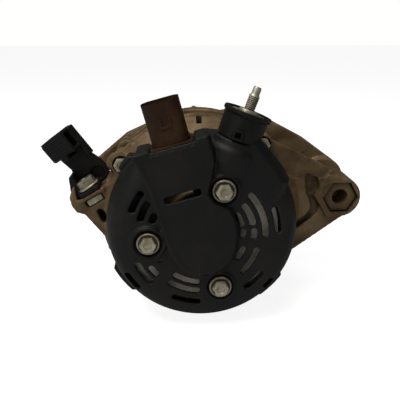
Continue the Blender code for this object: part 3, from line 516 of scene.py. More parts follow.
shell = joined("socket_shell", [
    slab("tube", oval(21.4, 15.0, 5.4), 57.0, SOCKET_TOP, UPRIGHT),
    slab("rim", oval(21.8, 15.4, 5.6), 82.6, SOCKET_TOP, UPRIGHT),
    slab("foot", oval(22.4, 16.0, 5.8), 57.0, 60.4, UPRIGHT),
    block("flange", (-12.0, -9.8, 57.4), (12.0, 9.4, 58.5), SOCKET, 0.3),
    block("ramp_left", (-2.9, -8.3, 68.6), (-1.9, -6.6, 73.4), SOCKET, 0.2),
    block("ramp_right", (2.3, -8.3, 68.6), (3.3, -6.6, 73.4), SOCKET, 0.2),
    block("ramp_foot", (-2.9, -8.5, 67.9), (3.3, -6.6, 69.2), SOCKET, 0.2),
])
carved(shell, [slab("mouth", oval(18.4, 12.0, 4.2), 62.0, 86.0, UPRIGHT)])
worked(shell, "BEVEL", width=0.25 * MM, segments=2, limit_method="ANGLE", angle_limit=math.radians(50))
fitted(shell, polyester, "connector_plastic", "housing", "connector_shell", angle=40)

# Tin-plated copper alloy, stamped: warm pale metal with a light smear of grease.
blade_metal, tree, shader, where = finish("tinned_copper_blades")
_, tone = mottled(tree, where, ((0.3, "#a88f72"), (0.7, "#cdbfa6")), Scale=400.0, Detail=4.0)
wired(tree, shader, (tone, "Base Color"), Metallic=1.0, Roughness=0.32)
painted(blade_metal, *(f"connector_blade_{index}" for index in range(1, 5)))


# ---------------------------------------- output stud
# The charging terminal: a black nylon cup with a rolled rim and a square inspection window, a
# plated washer plate set in its mouth, and a threaded stud with a collar and a tapered pilot.

# Nylon, moulded: near black with blue-grey wear and some dust.
black_nylon, tree, shader, where = finish("moulded_black_nylon")
patch, tone = mottled(tree, where, ((0.3, "#0f0f0f"), (0.55, "#181715"), (0.8, "#2a251d")),
                      Scale=90.0, Detail=5.0, Roughness=0.6)
grain = add(tree, "TexNoise", (where, "Vector"), Scale=1200.0, Detail=2.0)
wear = add(tree, "MapRange", (patch, "Value"), To_Min=0.38, To_Max=0.62)
bump = add(tree, "Bump", (grain, "Height"), Strength=0.14, Distance=0.0002)
wired(tree, shader, (tone, "Base Color"), (wear, "Roughness"), (bump, "Normal"), Specular_IOR_Level=0.26)

cup = spun("terminal_cup", [(14.1, 76.0), (13.8, 76.3), (12.2, 76.3), (11.7, 75.8), (11.6, 69.5),
                            (3.6, 69.5), (3.6, 52.0), (10.9, 52.0), (10.9, 60.0), (12.7, 60.2),
                            (12.9, 66.0), (13.0, 73.2), (13.9, 74.0), (14.2, 74.6)], TERMINAL)
carved(cup, [block("window_frame", (-6.4, -14.3, 60.4), (-0.2, -8.0, 66.4), TERMINAL, 0.5)], "UNION")
carved(cup, [block("window", (-5.0, -16.0, 61.8), (-1.6, -10.5, 65.0), TERMINAL)])
fitted(cup, black_nylon, "black_plastic", "housing", "terminal_insulator", angle=35)

plate = spun("terminal_plate", [(3.7, 69.8), (10.7, 69.8), (10.9, 70.2), (10.9, 74.9), (10.5, 75.3),
                                (6.8, 75.3), (6.4, 75.0), (3.8, 75.0)], TERMINAL)
carved(plate, [rod("notch", 1.7, 71.6, 77.0, TERMINAL @ moved(x, 0, 0), sides=24)
               for x in (-9.1, 9.1)])
fitted(plate, zinc, "zinc_steel", "housing", "terminal_washer", angle=35)

CREST, THREAD_ROOT, THREAD_PITCH = 3.2, 2.75, 1.0
profile = [(0, 47.0), (CREST, 47.0), (CREST, 73.7), (5.3, 73.7), (5.6, 74.0), (5.6, 76.8), (5.3, 77.2),
           (CREST, 77.2)]
height = 77.7
while height < 85.4:
    profile += [(THREAD_ROOT, height), (CREST, height + THREAD_PITCH * 0.42),
                (CREST, height + THREAD_PITCH * 0.58)]
    height += THREAD_PITCH
profile += [(2.7, 85.8), (2.4, 86.6), (2.35, 89.8), (1.9, 90.6), (0, 90.6)]
stud = spun("output_stud", profile, TERMINAL, 48)
fitted(stud, zinc, "zinc_steel", "housing", "terminal_stud", angle=40)


# ---------------------------------------- rectifier, regulator and brushes
# Behind the cover: two die-cast heat-sink plates with six pressed-in diodes between them, the
# sealed regulator block, and two carbon brushes sprung against the slip rings.

# Die-cast aluminium, weathered: warm grey-tan with darker stains, a sandy cast skin, and corners
# darkened by occlusion, painted shade with some grit. The cast grain is drawn at 1.2 mm so that it shows.
cast, tree, shader, where = finish("weathered_cast_aluminium")
stain, tone = mottled(
    tree, where, ((0.26, "#4a3a25"), (0.45, "#755f41"), (0.6, "#917a59"), (0.82, "#ae9873")),
    Scale=34.0, Detail=7.0, Roughness=0.66, Distortion=0.8,
)
corner = add(tree, "AmbientOcclusion", samples=6, Distance=0.006)
grit_and_shade = add(tree, "ValToRGB", (corner.outputs["AO"], "Fac"), stops=((0.25, "#3f2f1e"), (0.85, "#ffffff")))
dirt_and_shade_tone = add(tree, "MixRGB", (tone, "Color1"), (grit_and_shade, "Color2"), blend_type="MULTIPLY", Fac=0.9)
grain = add(tree, "TexNoise", (where, "Vector"), Scale=820.0, Detail=4.0, Roughness=0.6)
pits = add(tree, "TexNoise", (where, "Vector"), Scale=240.0, Detail=3.0)
rough = add(tree, "MapRange", (stain, "Value"), To_Min=0.48, To_Max=0.7)
skin = add(tree, "Bump", (grain, "Height"), Strength=0.3, Distance=0.0003)
bump = add(tree, "Bump", (pits, "Height"), (skin, "Normal"), Strength=0.25, Distance=0.0006)
wired(tree, shader, (dirt_and_shade_tone, "Base Color"), (rough, "Roughness"), (bump, "Normal"), Metallic=0.45)

# Die-cast heat sinks of pale bead-blasted aluminium, drawn near white: painted light for the light that
# reaches them through the slots.
sink_metal_painted_bright, tree, shader, where = finish("blasted_aluminium_heat_sink")
_, tone = mottled(tree, where, ((0.3, "#d8d0bc"), (0.7, "#f6f2e8")), Scale=120.0, Detail=5.0)
grain = add(tree, "TexNoise", (where, "Vector"), Scale=900.0, Detail=3.0)
bump = add(tree, "Bump", (grain, "Height"), Strength=0.3, Distance=0.0003)
wired(tree, shader, (tone, "Base Color"), (bump, "Normal"), Metallic=0.2, Roughness=0.6)

# Machined steel, oiled: grey with fine turning marks and a faint brown film.
steel, tree, shader, where = finish("machined_steel")
_, tone = mottled(tree, where, ((0.3, "#5b5046"), (0.55, "#7d7872"), (0.8, "#9a9791")),
                 Scale=110.0, Detail=5.0)
fine = add(tree, "TexNoise", (where, "Vector"), Scale=1000.0, Detail=2.0)
bump = add(tree, "Bump", (fine, "Height"), Strength=0.15, Distance=0.0001)
wired(tree, shader, (tone, "Base Color"), (bump, "Normal"), Metallic=1.0, Roughness=0.36)

# Sintered carbon: matt black with a sparkle of graphite and copper grains.
carbon, tree, shader, where = finish("sintered_carbon")
_, tone = mottled(tree, where, ((0.45, "#171717"), (0.75, "#4a3c33")), Scale=2200.0, Detail=2.0)
wired(tree, shader, (tone, "Base Color"), Roughness=0.7)

painted(sink_metal_painted_bright, "positive_heat_sink", "negative_heat_sink")
painted(steel, *(f"diode_{index}" for index in range(1, 7)))
painted(black_nylon, "regulator_body", "brush_holder")
painted(carbon, "brush_1", "brush_2")

# Each spring is a merged, smooth-shaded copy of its solid. It stands between its brush and the
# roof of the pocket.
BRUSH_STATIONS = (12.0, 19.0)
for index, station in enumerate(BRUSH_STATIONS, 1):
    spring = bpy.data.objects.new(f"brush_coil_{index}", nodes[f"brush_spring_{index}"].data.copy())
    bpy.context.scene.collection.objects.link(spring)
    bpy.context.view_layer.objects.active = spring
    spring.select_set(True)
    bpy.ops.object.mode_set(mode="EDIT")
    closed(spring)
    fitted(spring, steel, "bare_steel", "housing", f"brush_spring_{index}", angle=40)
    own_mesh(spring)


# ---------------------------------------- rear bracket
# The slip-ring-end bracket, die-cast: a ribbed bowl with end and side vents, a long arm on the
# right that ends in the M10 lug, and an ear on the left with a slanted, machined seat.

LUG = (92.5, 10.8)
LUG_BORE, LUG_RADIUS = 5.2, 13.4
POCKET_HEX, SLEEVE_HEX = 20.6, 19.8
SEAT = moved(-70, 43.5, 17) @ turned(-30, "Y")
BOLT_CIRCLE = 61.3
BOLT_ANGLES = (51, 144, 231, 324)
BOLT_HOLE = 3.2
END_VENTS = ((77, 106), (112, 141), (147, 176), (196, 234), (241, 278), (297, 332), (339, 374), (381, 418))
SIDE_VENTS = (12, 64, 82, 102, 122, 190, 250, 270, 290, 345)
RIBS = (73, 92, 112, 132, 158, 172, 200, 216, 258, 282, 305)


def across(angle, radius):
    """The (x, z) point at an angle from +X towards +Z."""
    return radius * math.cos(math.radians(angle)), radius * math.sin(math.radians(angle))


BOLTS = [stood(*across(angle, BOLT_CIRCLE)) for angle in BOLT_ANGLES]


def sector(inner, outer, start, end):
    """The outline of a window between two radii and two angles."""
    return arc((0, 0), outer, start, end, 12) + arc((0, 0), inner, end, start, 12)


def radial(angle):
    """A frame whose local Z points out from the shaft at an angle, with local Y along the shaft."""
    return turned(90 - angle, "Y")


def lug_arc(radius, start, end, count=17):
    """Points along the lug's rounded end."""
    return arc(LUG, radius, start, end, count)


shell = [(64.0, 58.0), (64.0, 42.4), (63.2, 39.6), (61.2, 36.9), (58.5, 34.8), (56.0, 32.3), (21.6, 32.3),
         (20.6, 29.4), (14.2, 29.4), (14.2, 30.3), (17.8, 30.3), (17.8, 42.4), (21.2, 42.4), (21.8, 36.2),
         (54.0, 36.2), (55.4, 38.6), (55.4, 52.7), (57.9, 52.7), (57.9, 58.0)]
arm = [(20.0, 61.6), *lug_arc(LUG_RADIUS, 62.6, -53.2), (46.0, -40.3), (40.0, -46.0), (42.0, 30.0),
       (20.0, 56.6)]
ear = [(-52.0, 42.0), (-56.4, 40.6), (-59.2, 37.6), (-58.8, 34.4), (-55.4, 33.4), (-54.6, 29.6),
       (-55.6, 25.2), (-60.2, 22.6), (-78.8, 11.9), (-79.6, 21.6), (-81.4, 20.8), (-83.6, 14.0),
       (-82.4, 8.4), (-79.6, 4.2), (-74.6, 2.8), (-57.0, -20.0), (-50.0, -30.0), (-48.0, 0.0)]
parts = [
    spun("bowl", shell, steps=144),
    slab("arm", arm, 42.8, 51.0),
    rod("lug", LUG_RADIUS, 41.4, 66.0, stood(*LUG)),
    slab("hex_boss", [(76.1, 10.8), (84.3, 25.0), *lug_arc(13.3, 75, -75, 13), (84.3, -3.4)], 39.4, 44.0),
    slab("ear", ear, 37.5, 49.5),
    block("seat_pad", (-10.2, -7.0, -3.0), (9.6, 5.2, 0.0), SEAT, 0.5),
    spun("face_bead", [(62.6, 40.6), (65.0, 40.9), (65.0, 42.8), (62.6, 43.2)], steps=144),
    spun("front_bead", [(63.0, 54.2), (64.8, 54.4), (64.8, 58.0), (63.0, 58.0)], steps=144),
]
parts += [rod("bolt_boss", 6.6, 36.6, 58.0, place) for place in BOLTS]
parts += [block("rib", (-0.9, 40.0, 60.0), (0.9, 57.6, 65.2), radial(angle), 0.3) for angle in RIBS]
parts += [rod("post", 4.6, 8.2, 34.0, stood(x, z), sides=24) for x, z in COVER_SCREWS]
parts += [rod("web", 3.4, 20.0, 34.0, stood(*across(angle, 38.0)), sides=20) for angle in (-8, 16, 28)]
rear = joined("rear_bracket_casting", parts)

cuts = [slab("end_vent", sector(28.0, 52.0, start, end), 31.0, 37.5) for start, end in END_VENTS]
cuts += [block("side_vent", (-4.5, 44.0, 53.0), (4.5, 51.0, 70.0), radial(angle), 1.0)
         for angle in SIDE_VENTS]
cuts += [spun("inside", [(55.4, 38.8), (55.4, 53.0), (22.4, 53.0), (22.4, 38.8)]),
         rod("core_seat", 57.9, 52.7, 62.0, sides=144)]
trench = [(70.0, 26.5), (77.5, 23.5), (79.0, 17.0), (75.4, 11.0), (79.6, 5.0), (78.6, -0.6), (74.0, -5.4),
          (64.6, -12.0), (64.6, -6.8), (71.4, -1.6), (74.0, 3.0), (73.0, 8.0), (70.2, 13.5), (69.0, 20.0)]
cuts += [
    slab("arm_trench", trench, 38.0, 47.0),
    slab("ear_window", [(-67.1, 6.1), (-63.8, 6.7), (-60.8, 3.2), (-61.3, -4.5), (-64.2, -2.0)],
         36.0, 47.0),
    slab("pad_crease", [(60.0, 24.6), (66.0, 24.4), (70.6, 21.4), (70.2, 20.6), (65.6, 23.5),
                        (60.0, 23.7)], 38.0, 44.2),
    slab("pad_drop", [(46.0, 58.0), (60.0, 50.0), (88.0, 31.0), (82.0, 24.0), (70.6, 21.6), (60.0, 24.4),
                      (40.0, 30.0)], 38.0, 43.7),
    block("nut_pocket", (-6.2, -20.0, -7.6), (6.2, 4.6, -2.6), SEAT, 0.6),
    rod("seat_hole", 3.3, -12.0, 5.0, SEAT, sides=24),
]
carved(rear, cuts)
moulded(rear, 0.86, 1)
crisp = [rod("hex_pocket", POCKET_HEX / math.sqrt(3), 36.0, 57.0, stood(*LUG), sides=6, turn=90),
         rod("lug_bore", LUG_BORE, 36.0, 68.0, stood(*LUG)),
         block("square_hole", (-2.7, 37.0, 57.0), (0.7, 42.2, 66.0))]
for place in BOLTS:
    crisp += [rod("bolt_hole", BOLT_HOLE, 30.0, 59.0, place, sides=24),
              rod("bolt_seat", 5.6, 30.0, 38.6, place, sides=36)]
crisp += [rod("post_hole", 2.6, 7.0, 26.0, stood(x, z), sides=20) for x, z in COVER_SCREWS]
bored(rear, crisp)
fitted(rear, cast, "cast_aluminium", "housing", "rear_bracket", angle=50)

# The lug's hex sleeve slides in its pocket to close on the engine's ear when the bolt is drawn up.
sleeve = rod("lug_sleeve_hex", SLEEVE_HEX / math.sqrt(3), 41.6, 56.0, stood(*LUG), sides=6, turn=90)
worked(sleeve, "BEVEL", width=0.7 * MM, segments=3, limit_method="ANGLE", angle_limit=math.radians(40))
carved(sleeve, [rod("bore", LUG_BORE, 30.0, 70.0, stood(*LUG), sides=64),
                rod("mouth", LUG_BORE + 0.8, 40.0, 42.4, stood(*LUG), tip=LUG_BORE - 0.2, sides=64)])
fitted(sleeve, cast, "cast_aluminium", "housing", "lug_sleeve", angle=35)


# ---------------------------------------- front bracket
# The drive-end bracket, die-cast to match: a ribbed bowl round the pulley bearing, the second
# M10 lug on its arm, and a hollow strut on the left that ends in the adjuster's M8 eye.

SIDE_EYE = (-77.0, 9.0)
EYE_BORE = 4.3
FRONT_LUG_RADIUS = 15.6

shell = [(28.0, 108.4), (29.4, 107.0), (30.2, 101.0), (54.0, 101.0), (58.0, 99.6), (61.0, 96.6),
         (62.8, 93.2), (63.6, 90.0), (63.6, 75.0), (57.9, 75.0), (57.9, 80.3), (55.4, 80.3), (55.4, 93.0),
         (52.0, 96.8), (30.4, 96.8), (29.6, 92.6), (23.8, 92.6), (23.8, 107.0), (17.5, 107.0), (17.5, 108.4)]
arm = [(20.0, 61.5), (40.0, 58.8), (55.0, 52.5), (78.3, 40.2), *lug_arc(FRONT_LUG_RADIUS, 58.0, -53.2),
       (46.0, -42.0), (38.0, -46.0), (42.0, 30.0), (20.0, 56.0)]
strut = [(-34.0, 52.6), (-50.4, 45.2), (-54.0, 42.2), *arc(SIDE_EYE, 11.0, 137, 236, 13),
         (-56.0, -16.0), (-46.0, -20.0), (-44.0, 30.0)]
parts = [
    spun("bowl", shell, steps=144),
    slab("arm", arm, 88.0, 98.0),
    rod("lug", FRONT_LUG_RADIUS, 84.0, 102.0, stood(*LUG)),
    slab("strut", strut, 86.0, 96.0),
    rod("eye", 10.6, 86.0, 96.0, stood(*SIDE_EYE)),
    spun("rear_bead", [(62.4, 75.0), (64.4, 75.0), (64.4, 78.4), (62.4, 78.6)], steps=144),
]
parts += [rod("bolt_boss", 6.6, 75.0, 93.0, place) for place in BOLTS]
parts += [block("spoke", (-1.6, 96.0, 27.0), (1.6, 103.4, 54.0), radial(22.5 + 45 * index), 0.5)
          for index in range(8)]
parts += [block("rib", (-0.9, 76.0, 60.0), (0.9, 91.0, 64.6), radial(angle), 0.3)
          for angle in RIBS if angle != 172]
front = joined("front_bracket_casting", parts)
cuts = [slab("end_vent", sector(33.0, 50.5, middle - 15, middle + 15), 90.0, 104.0)
        for middle in range(0, 360, 45)]
cuts += [block("side_vent", (-4.5, 82.0, 53.0), (4.5, 88.0, 70.0), radial(angle), 1.0)
         for angle in SIDE_VENTS]
cuts += [spun("inside", [(55.4, 80.0), (55.4, 93.0), (31.0, 93.0), (31.0, 80.0)]),
         spun("inside_end", [(51.8, 92.0), (51.8, 96.6), (31.0, 96.6), (31.0, 92.0)]),
         rod("core_seat", 57.9, 72.0, 80.3, sides=144),
         slab("strut_window", [(-64.6, 18.6), (-60.4, 19.6), (-60.4, 11.8), (-64.4, 11.0)], 84.0, 98.0),
         slab("arm_pocket", [(46.0, 42.0), (76.0, 27.0), (74.0, -2.0), (50.0, -24.0), (64.5, 0.0)],
              92.0, 100.0)]
carved(front, cuts)
moulded(front, 0.92, 1)
crisp = [rod("lug_bore", LUG_BORE, 80.0, 105.0, stood(*LUG), sides=64),
         rod("eye_bore", EYE_BORE, 80.0, 105.0, stood(*SIDE_EYE), sides=48)]
crisp += [rod("bolt_hole", BOLT_HOLE, 70.0, 91.0, place, sides=24) for place in BOLTS]
bored(front, crisp)
fitted(front, cast, "cast_aluminium", "housing", "front_bracket", angle=50)


# ---------------------------------------- bracket fixings and bearings
# Four plated hex screws draw the brackets together over the stator. A plate held by two screws
# keeps the front bearing in its pocket.

for index, place in enumerate(BOLTS, 1):
    bolt = joined(f"through_screw_{index}", [
        hex_head("head", 8.0, 33.6, 38.2, place, 0.5, 30.0),
        rod("shank", 2.6, 38.0, 90.0, place, sides=24),
    ])
    fitted(bolt, zinc, "zinc_steel", "housing", f"through_bolt_{index}", angle=35)

painted(zinc, "bearing_retainer", "retainer_screw_1", "retainer_screw_2")


# ---------------------------------------- ball bearings
# Two deep-groove ball bearings of ground steel, with the balls kept apart by a pressed cage. The
# outer rings stay in the brackets, the inner rings turn with the shaft, and the cages roll between.


def ball_bearing(name, outer, bore, low, high, ball, count):
    """The two grooved rings of a bearing, and its cage with the balls in it."""
    pitch, middle = (outer + bore) / 2, (low + high) / 2
    lip, wave = ball * 0.62, [math.radians(angle) for angle in range(0, 181, 20)]
    track = [(ball * 0.42 * math.sin(turn), middle - ball * 0.88 * math.cos(turn)) for turn in wave]
    outside = [(pitch + lip, low), *((pitch + lip + depth, y) for depth, y in track), (pitch + lip, high)]
    inside = [(pitch - lip, low), *((pitch - lip - depth, y) for depth, y in track), (pitch - lip, high)]
    rim = spun(f"{name}_outer_ring", [(outer - 0.5, low), (outer, low + 0.5), (outer, high - 0.5),
                                      (outer - 0.5, high), *reversed(outside)])
    hub = spun(f"{name}_inner_ring", [(bore, low), *inside, (bore, high)])
    band = [(pitch + ball * side, middle + ball * end)
            for side, end in ((0.3, -0.8), (0.3, 0.8), (-0.3, 0.8), (-0.3, -0.8))]
    cage = spun(f"{name}_cage_and_balls", band)
    bpy.ops.mesh.primitive_uv_sphere_add(segments=20, ring_count=12, radius=(ball - 0.3) * MM)
    sphere = bpy.context.object
    bpy.ops.object.mode_set(mode="EDIT")
    closed(sphere)
    places = [stood(*across(360 * index / count, pitch)) @ moved(0, 0, middle)
              for index in range(count)]
    carved(cage, copied(sphere, places), "UNION")
    fitted(rim, steel, "bare_steel", "housing", f"{name}_bearing_outer", angle=35)
    fitted(hub, steel, "bare_steel", "rotor", f"{name}_bearing_inner", angle=35)
    fitted(cage, steel, "bare_steel", f"{name}_cage", f"{name}_ball_cage", angle=35)


ball_bearing("rear", 17.5, 7.8, 30.6, 41.2, 3.0, 7)
ball_bearing("front", 23.5, 8.8, 92.9, 106.7, 4.4, 7)


# ---------------------------------------- stator
# The stack of stamped laminations clamped between the brackets, welded along six grooves, and the
# winding in its 24 slots: bars of enamelled copper, crossed over and varnished at both ends.

STACK = (53.0, 80.0)
SLOTS = 24

# Silicon steel, stamped and stacked: dark brown-grey with a line every sheet. A sheet is 0.5 mm,
# drawn at 1 mm so that it shows.
lamination, tree, shader, where = finish("stacked_laminations")
sheet = add(tree, "TexWave", (where, "Vector"), bands_direction="Y", Scale=314.0, Distortion=0.4)
_, tone = mottled(tree, where, ((0.3, "#3c342c"), (0.55, "#544a3d"), (0.78, "#70583c")),
                 Scale=90.0, Detail=5.0)
bump = add(tree, "Bump", (sheet.outputs["Fac"], "Height"), Strength=0.5, Distance=0.0003)
wired(tree, shader, (tone, "Base Color"), (bump, "Normal"), Metallic=0.5, Roughness=0.6)

low, high = STACK
core = spun("stator_laminations", [(57.6, low), (57.6, high), (48.7, high), (48.7, low)], steps=144)
turns = [radial(360 / SLOTS * index) for index in range(SLOTS)]
carved(core, copied(block("slot", (-2.6, low - 3, 47.0), (2.6, high + 3, 54.6), edge=0.4), turns)
       + [rod("weld_groove", 1.2, low - 3, high + 3, stood(*across(30 + 60 * index, 58.3)), sides=20)
          for index in range(6)])
fitted(core, lamination, "lamination_steel", "housing", "stator_core", angle=35)

# Copper wire in amber enamel, dipped in varnish: glossy orange-brown with darker runs.
enamel, tree, shader, where = finish("varnished_copper_winding")
runs, tone = mottled(tree, where, ((0.3, "#5c2c12"), (0.55, "#96502a"), (0.8, "#b8743f")),
                     Scale=260.0, Detail=4.0)
bump = add(tree, "Bump", (runs, "Height"), Strength=0.3, Distance=0.0004)
wired(tree, shader, (tone, "Base Color"), (bump, "Normal"), Metallic=0.5, Roughness=0.34)

bundle = [
    spun("rear_end", [(53.7, low - 0.3), (53.9, 44.8), (52.6, 43.6), (50.4, 43.8), (49.6, 45.2),
                      (49.6, low - 0.3)]),
    spun("front_end", [(53.7, high + 0.3), (53.9, 88.4), (52.6, 89.4), (50.4, 89.2), (49.6, 88.0),
                       (49.6, high + 0.3)]),
    *copied(block("bar", (-2.0, low - 1, 50.0), (2.0, high + 1, 53.8), edge=0.3), turns),
]
for middle in (48.0, 84.8):
    for inner, lean in ((51.9, 26), (49.4, -26)):
        strand = block("strand", (-0.95, -4.9, inner), (0.95, 4.9, inner + 2.3), edge=0.35)
        tilt = moved(0, middle, 0) @ turned(lean, "Z")
        bundle += copied(strand, [radial(7.5 * index) @ tilt for index in range(2 * SLOTS)])
winding = joined("stator_winding_bundle", bundle)
fitted(winding, enamel, "enamelled_copper", "housing", "stator_winding", angle=40)


# ---------------------------------------- rotor
# The turning assembly: a forged shaft, two claw poles interlaced round the field coil, a pressed
# fan welded to each, and two copper slip rings on a moulded sleeve for the brushes.

CLAWS = 8


def claw(name, root, tip):
    """One forged pole finger, thinning from its root to its tip, with rounded edges."""
    bpy.ops.mesh.primitive_cube_add(size=2.0)
    piece = bpy.context.object
    piece.name = name
    for vertex in piece.data.vertices:
        at_tip, outside = vertex.co.y > 0, vertex.co.z > 0
        width = (3.6 if at_tip else 8.0) * (1.0 if outside else 0.92)
        height = (47.3 if at_tip else 47.2) if outside else (44.4 if at_tip else 35.0)
        vertex.co = Vector((vertex.co.x * width, tip if at_tip else root, height)) * MM
    bpy.ops.object.mode_set(mode="EDIT")
    bpy.ops.mesh.select_all(action="SELECT")
    bpy.ops.mesh.bevel(offset=0.7 * MM, segments=2, affect="EDGES")
    return closed(piece)


def around(count, start=0.0):
    """Turns about the shaft that share out this many copies evenly."""
    return [turned(start + 360 / count * index, "Y") for index in range(count)]


for name, node, hub, ends, start in (
    ("claws_rear", "rear_claw_pole", [(25.0, 69.1), (25.0, 60.5), (37.0, 60.5), (37.0, 50.5), (9.3, 50.5),
                                      (9.3, 69.1)], (50.5, 85.6), 0.0),
    ("claws_front", "front_claw_pole", [(37.0, 88.0), (37.0, 78.0), (25.0, 78.0), (25.0, 69.4), (9.3, 69.4),
                                        (9.3, 88.0)], (88.0, 52.9), 180 / CLAWS),
):
    pole = spun(name, hub)
    carved(pole, copied(claw("claw", *ends), around(CLAWS, start)), "UNION")
    fitted(pole, steel, "bare_steel", "rotor", node, angle=35)

wire = [(34.4 - (0.35 if index % 2 else 0.0), 60.8 + 16.9 * index / 36) for index in range(37)]
coil = spun("field_coil_bobbin", [*wire, (25.4, 77.7), (25.4, 60.8)])
fitted(coil, enamel, "enamelled_copper", "rotor", "field_coil", angle=40)

for name, near, far, tip, inner, outer in (
    ("rear_fan", 49.0, 50.2, 43.0, 27.0, 40.0),
    ("front_fan", 88.3, 89.5, 95.4, 33.0, 45.0),
):
    disc = spun(f"{name}_pressing", [(46.0, near), (46.0, far), (11.5, far), (11.5, near)])
    x, z, left, right = 0.0, inner, [], []
    for step in range(8):
        lean = math.radians(10 + 36 * step / 7)
        left.append((x - 0.6 * math.cos(lean), z + 0.6 * math.sin(lean)))
        right.append((x + 0.6 * math.cos(lean), z - 0.6 * math.sin(lean)))
        x, z = x + math.sin(lean) * (outer - inner) / 7, z + math.cos(lean) * (outer - inner) / 7
    middle = (near + far) / 2
    blade = slab("blade", [*left, *reversed(right)], min(middle, tip), max(middle, tip))
    carved(disc, copied(blade, around(8)), "UNION")
    fitted(disc, steel, "bare_steel", "rotor", name, angle=35)

shaft = [(0, 139.0), (5.6, 139.0), (6.0, 138.4)]
shaft += [(radius, 138.0 - 0.5 * index) for index, radius in enumerate((6.8, 6.1, 6.1) * 9)]
shaft += [(6.8, 124.1), (7.6, 124.1), (7.6, 107.1), (8.5, 107.1), (8.5, 90.3), (9.0, 90.3), (9.0, 50.2),
          (8.4, 50.2), (8.4, 41.8), (7.4, 41.8), (7.4, 24.4), (4.5, 24.4), (4.5, 6.6), (3.9, 6.0), (0, 6.0)]
fitted(spun("rotor_shaft_turned", shaft), steel, "bare_steel", "rotor", "rotor_shaft", angle=35)
ring_sleeve = spun("slip_ring_carrier", [(6.2, 7.0), (6.2, 24.0), (4.8, 24.0), (4.8, 7.0)])
fitted(ring_sleeve, black_nylon, "black_plastic", "rotor", "slip_ring_sleeve", angle=35)

# Drawn copper, run in by the brushes: bright, with fine dark scoring round the ring.
copper, tree, shader, where = finish("burnished_copper")
score = add(tree, "TexWave", (where, "Vector"), bands_direction="Y", Scale=900.0, Distortion=1.0)
tone = add(tree, "ValToRGB", (score.outputs["Fac"], "Fac"), stops=((0.2, "#7a4128"), (0.8, "#c98a63")))
wired(tree, shader, (tone, "Base Color"), Metallic=1.0, Roughness=0.3)
for index, station in enumerate(BRUSH_STATIONS, 1):
    section = ((7.3, -2.8), (7.6, -2.5), (7.6, 2.5), (7.3, 2.8), (6.5, 2.8), (6.5, -2.8))
    band = spun(f"slip_ring_band_{index}", [(radius, station + y) for radius, y in section])
    fitted(band, copper, "copper", "rotor", f"slip_ring_{index}", angle=35)


# ---------------------------------------- pulley
# A six-rib belt pulley of turned steel, blackened and then worn bright by the belt, and the
# plated nut that holds it against the front bearing.

GROOVES, RIB_PITCH, RIB_TIP = 6, 3.56, 27.0
GROOVE_ROOT = RIB_TIP - 2.6
FIRST_RIB = 132.98
NUT_HEX, NUT_ENDS = 22.0, (124.4, 133.5)

# Blackened steel: dark brown-black, rubbed grey in patches.
blackened, tree, shader, where = finish("blackened_pulley_steel")
rub, tone = mottled(tree, where, ((0.35, "#1d1b1a"), (0.6, "#33302d"), (0.85, "#6b6762")),
                    Scale=130.0, Detail=5.0)
gloss = add(tree, "MapRange", (rub, "Value"), To_Min=0.55, To_Max=0.3)
wired(tree, shader, (tone, "Base Color"), (gloss, "Roughness"), Metallic=0.8)

rim = RIB_TIP + 1.5
outline = [(rim - 0.4, 135.3), (rim, 134.9), (rim, 134.2), (RIB_TIP, FIRST_RIB)]
for index in range(GROOVES):
    top = FIRST_RIB - RIB_PITCH * index
    outline += [(RIB_TIP, top - 0.3), (GROOVE_ROOT, top - RIB_PITCH / 2 + 0.25),
                (GROOVE_ROOT, top - RIB_PITCH / 2 - 0.25), (RIB_TIP, top - RIB_PITCH + 0.3)]
outline += [(RIB_TIP, 111.62), (rim, 110.4), (rim, 109.7), (rim - 0.4, 109.3), (22.0, 109.3),
            (21.0, 113.3), (12.6, 113.3), (12.2, 107.3), (7.9, 107.3), (7.9, 123.8), (18.4, 123.8),
            (19.6, 124.6), (21.4, 134.6), (22.0, 135.3)]
fitted(spun("pulley_ribbed", outline), blackened, "pulley_steel", "rotor", "pulley", angle=30)

turned_over = stood(0, 0) @ moved(0, 0, sum(NUT_ENDS)) @ turned(180, "X")
nut = hex_head("pulley_nut_hex", NUT_HEX, *NUT_ENDS, turned_over, 0.1, 30.0)
carved(nut, [rod("thread", 7.1, 120.0, 140.0, sides=64)])
fitted(nut, zinc, "zinc_steel", "rotor", "pulley_nut", angle=35)


# ---------------------------------------- harness clip
# A holder for a spare plug, moulded in black nylon: a ribbed sleeve with a slot through it, a
# curved arm, and a foot screwed to the ear's slanted seat with a large flanged screw and a nut.

SLEEVE = (moved(-87.4, 45, 46.4) @ turned(-36, "Y")
          @ turned(-20, "Z"))
ARM = ((-90.0, 36.0), (-82.0, 50.0), (-70.6, 40.6), (-64.6, 36.4), (-60.6, 32.0), (-59.4, 28.0),
       (-60.2, 24.0), (-63.2, 21.6), (-70.0, 17.6), (-76.0, 14.4), (-80.0, 16.0), (-82.4, 20.0),
       (-83.0, 29.0))

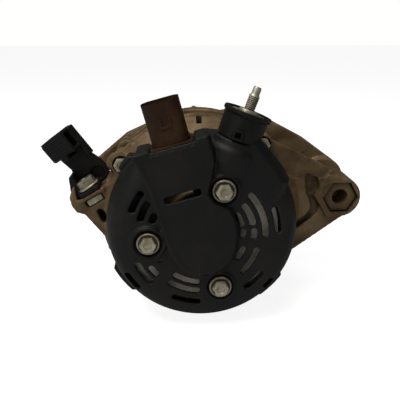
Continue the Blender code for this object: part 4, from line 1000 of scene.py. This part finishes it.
parts = [
    slab("arm", ARM, 49.8, 54.2),
    block("sleeve", (-10.0, -5.0, -7.0), (9.6, 7.4, 7.0), SLEEVE, 1.6),
    block("rim", (8.2, -5.4, -7.4), (10.0, 7.6, 7.4), SLEEVE, 0.8),
    block("tongue", (9.0, 3.4, -15.0), (11.0, 9.0, 6.8), SLEEVE, 0.5),
    block("step", (-4.0, -4.4, -9.4), (2.0, 7.0, -6.0), SLEEVE, 0.6),
    block("foot", (-6.6, -7.2, 0.3), (7.6, 10.0, 2.9), SEAT, 0.4),
    slab("cheek", [(-83.0, 18.0), (-79.8, 13.4), (-74.0, 14.6), (-77.0, 20.0), (-80.6, 27.0),
                   (-83.4, 27.0)], 40.0, 53.0),
]
for offset in (-5.6, -3.4, -1.2, 1.0, 3.2, 5.4):
    parts.append(block("sleeve_rib", (-8.4, -5.6, offset - 0.5), (8.6, -4.0, offset + 0.5), SLEEVE, 0.25))
for offset in (-5.0, -2.6, -0.2, 2.2, 4.6, 6.6):
    parts.append(block("top_rib", (-8.4, offset - 0.5, 6.4), (8.6, offset + 0.5, 7.5), SLEEVE, 0.25))
clip = joined("plug_holder", parts)
carved(clip, [
    block("mouth", (-8.0, -3.2, -5.2), (13.0, 2.4, 5.2), SLEEVE, 0.5),
    rod("foot_hole", 3.4, -3.0, 6.0, SEAT, sides=32),
    rod("dimple", 4.4, 46.0, 51.2, stood(-66.4, 27.4), sides=40),
])
moulded(clip, 0.45, 2)
fitted(clip, black_nylon, "black_plastic", "housing", "harness_clip")

FLIP = SEAT @ turned(180, "X")
screw = joined("clip_screw", [
    hex_head("head", 11.0, -9.2, -4.6, FLIP, 0.7),
    spun("flange", [(0, -4.8), (6.6, -4.8), (7.2, -4.3), (7.2, -3.6), (6.6, -3.2), (0, -3.2)], FLIP, 64),
    rod("shank", 2.8, -3.3, 10.5, FLIP, sides=24),
])
fitted(screw, zinc, "zinc_steel", "housing", "clip_bolt", angle=35)
nut = block("clip_nut_square", (-5.4, -5.4, -7.2), (5.4, 4.2, -3.0), SEAT, 0.5)
carved(nut, [rod("thread", 3.1, -12.0, 0.0, SEAT, sides=32)])
fitted(nut, zinc, "zinc_steel", "housing", "clip_nut", angle=35)
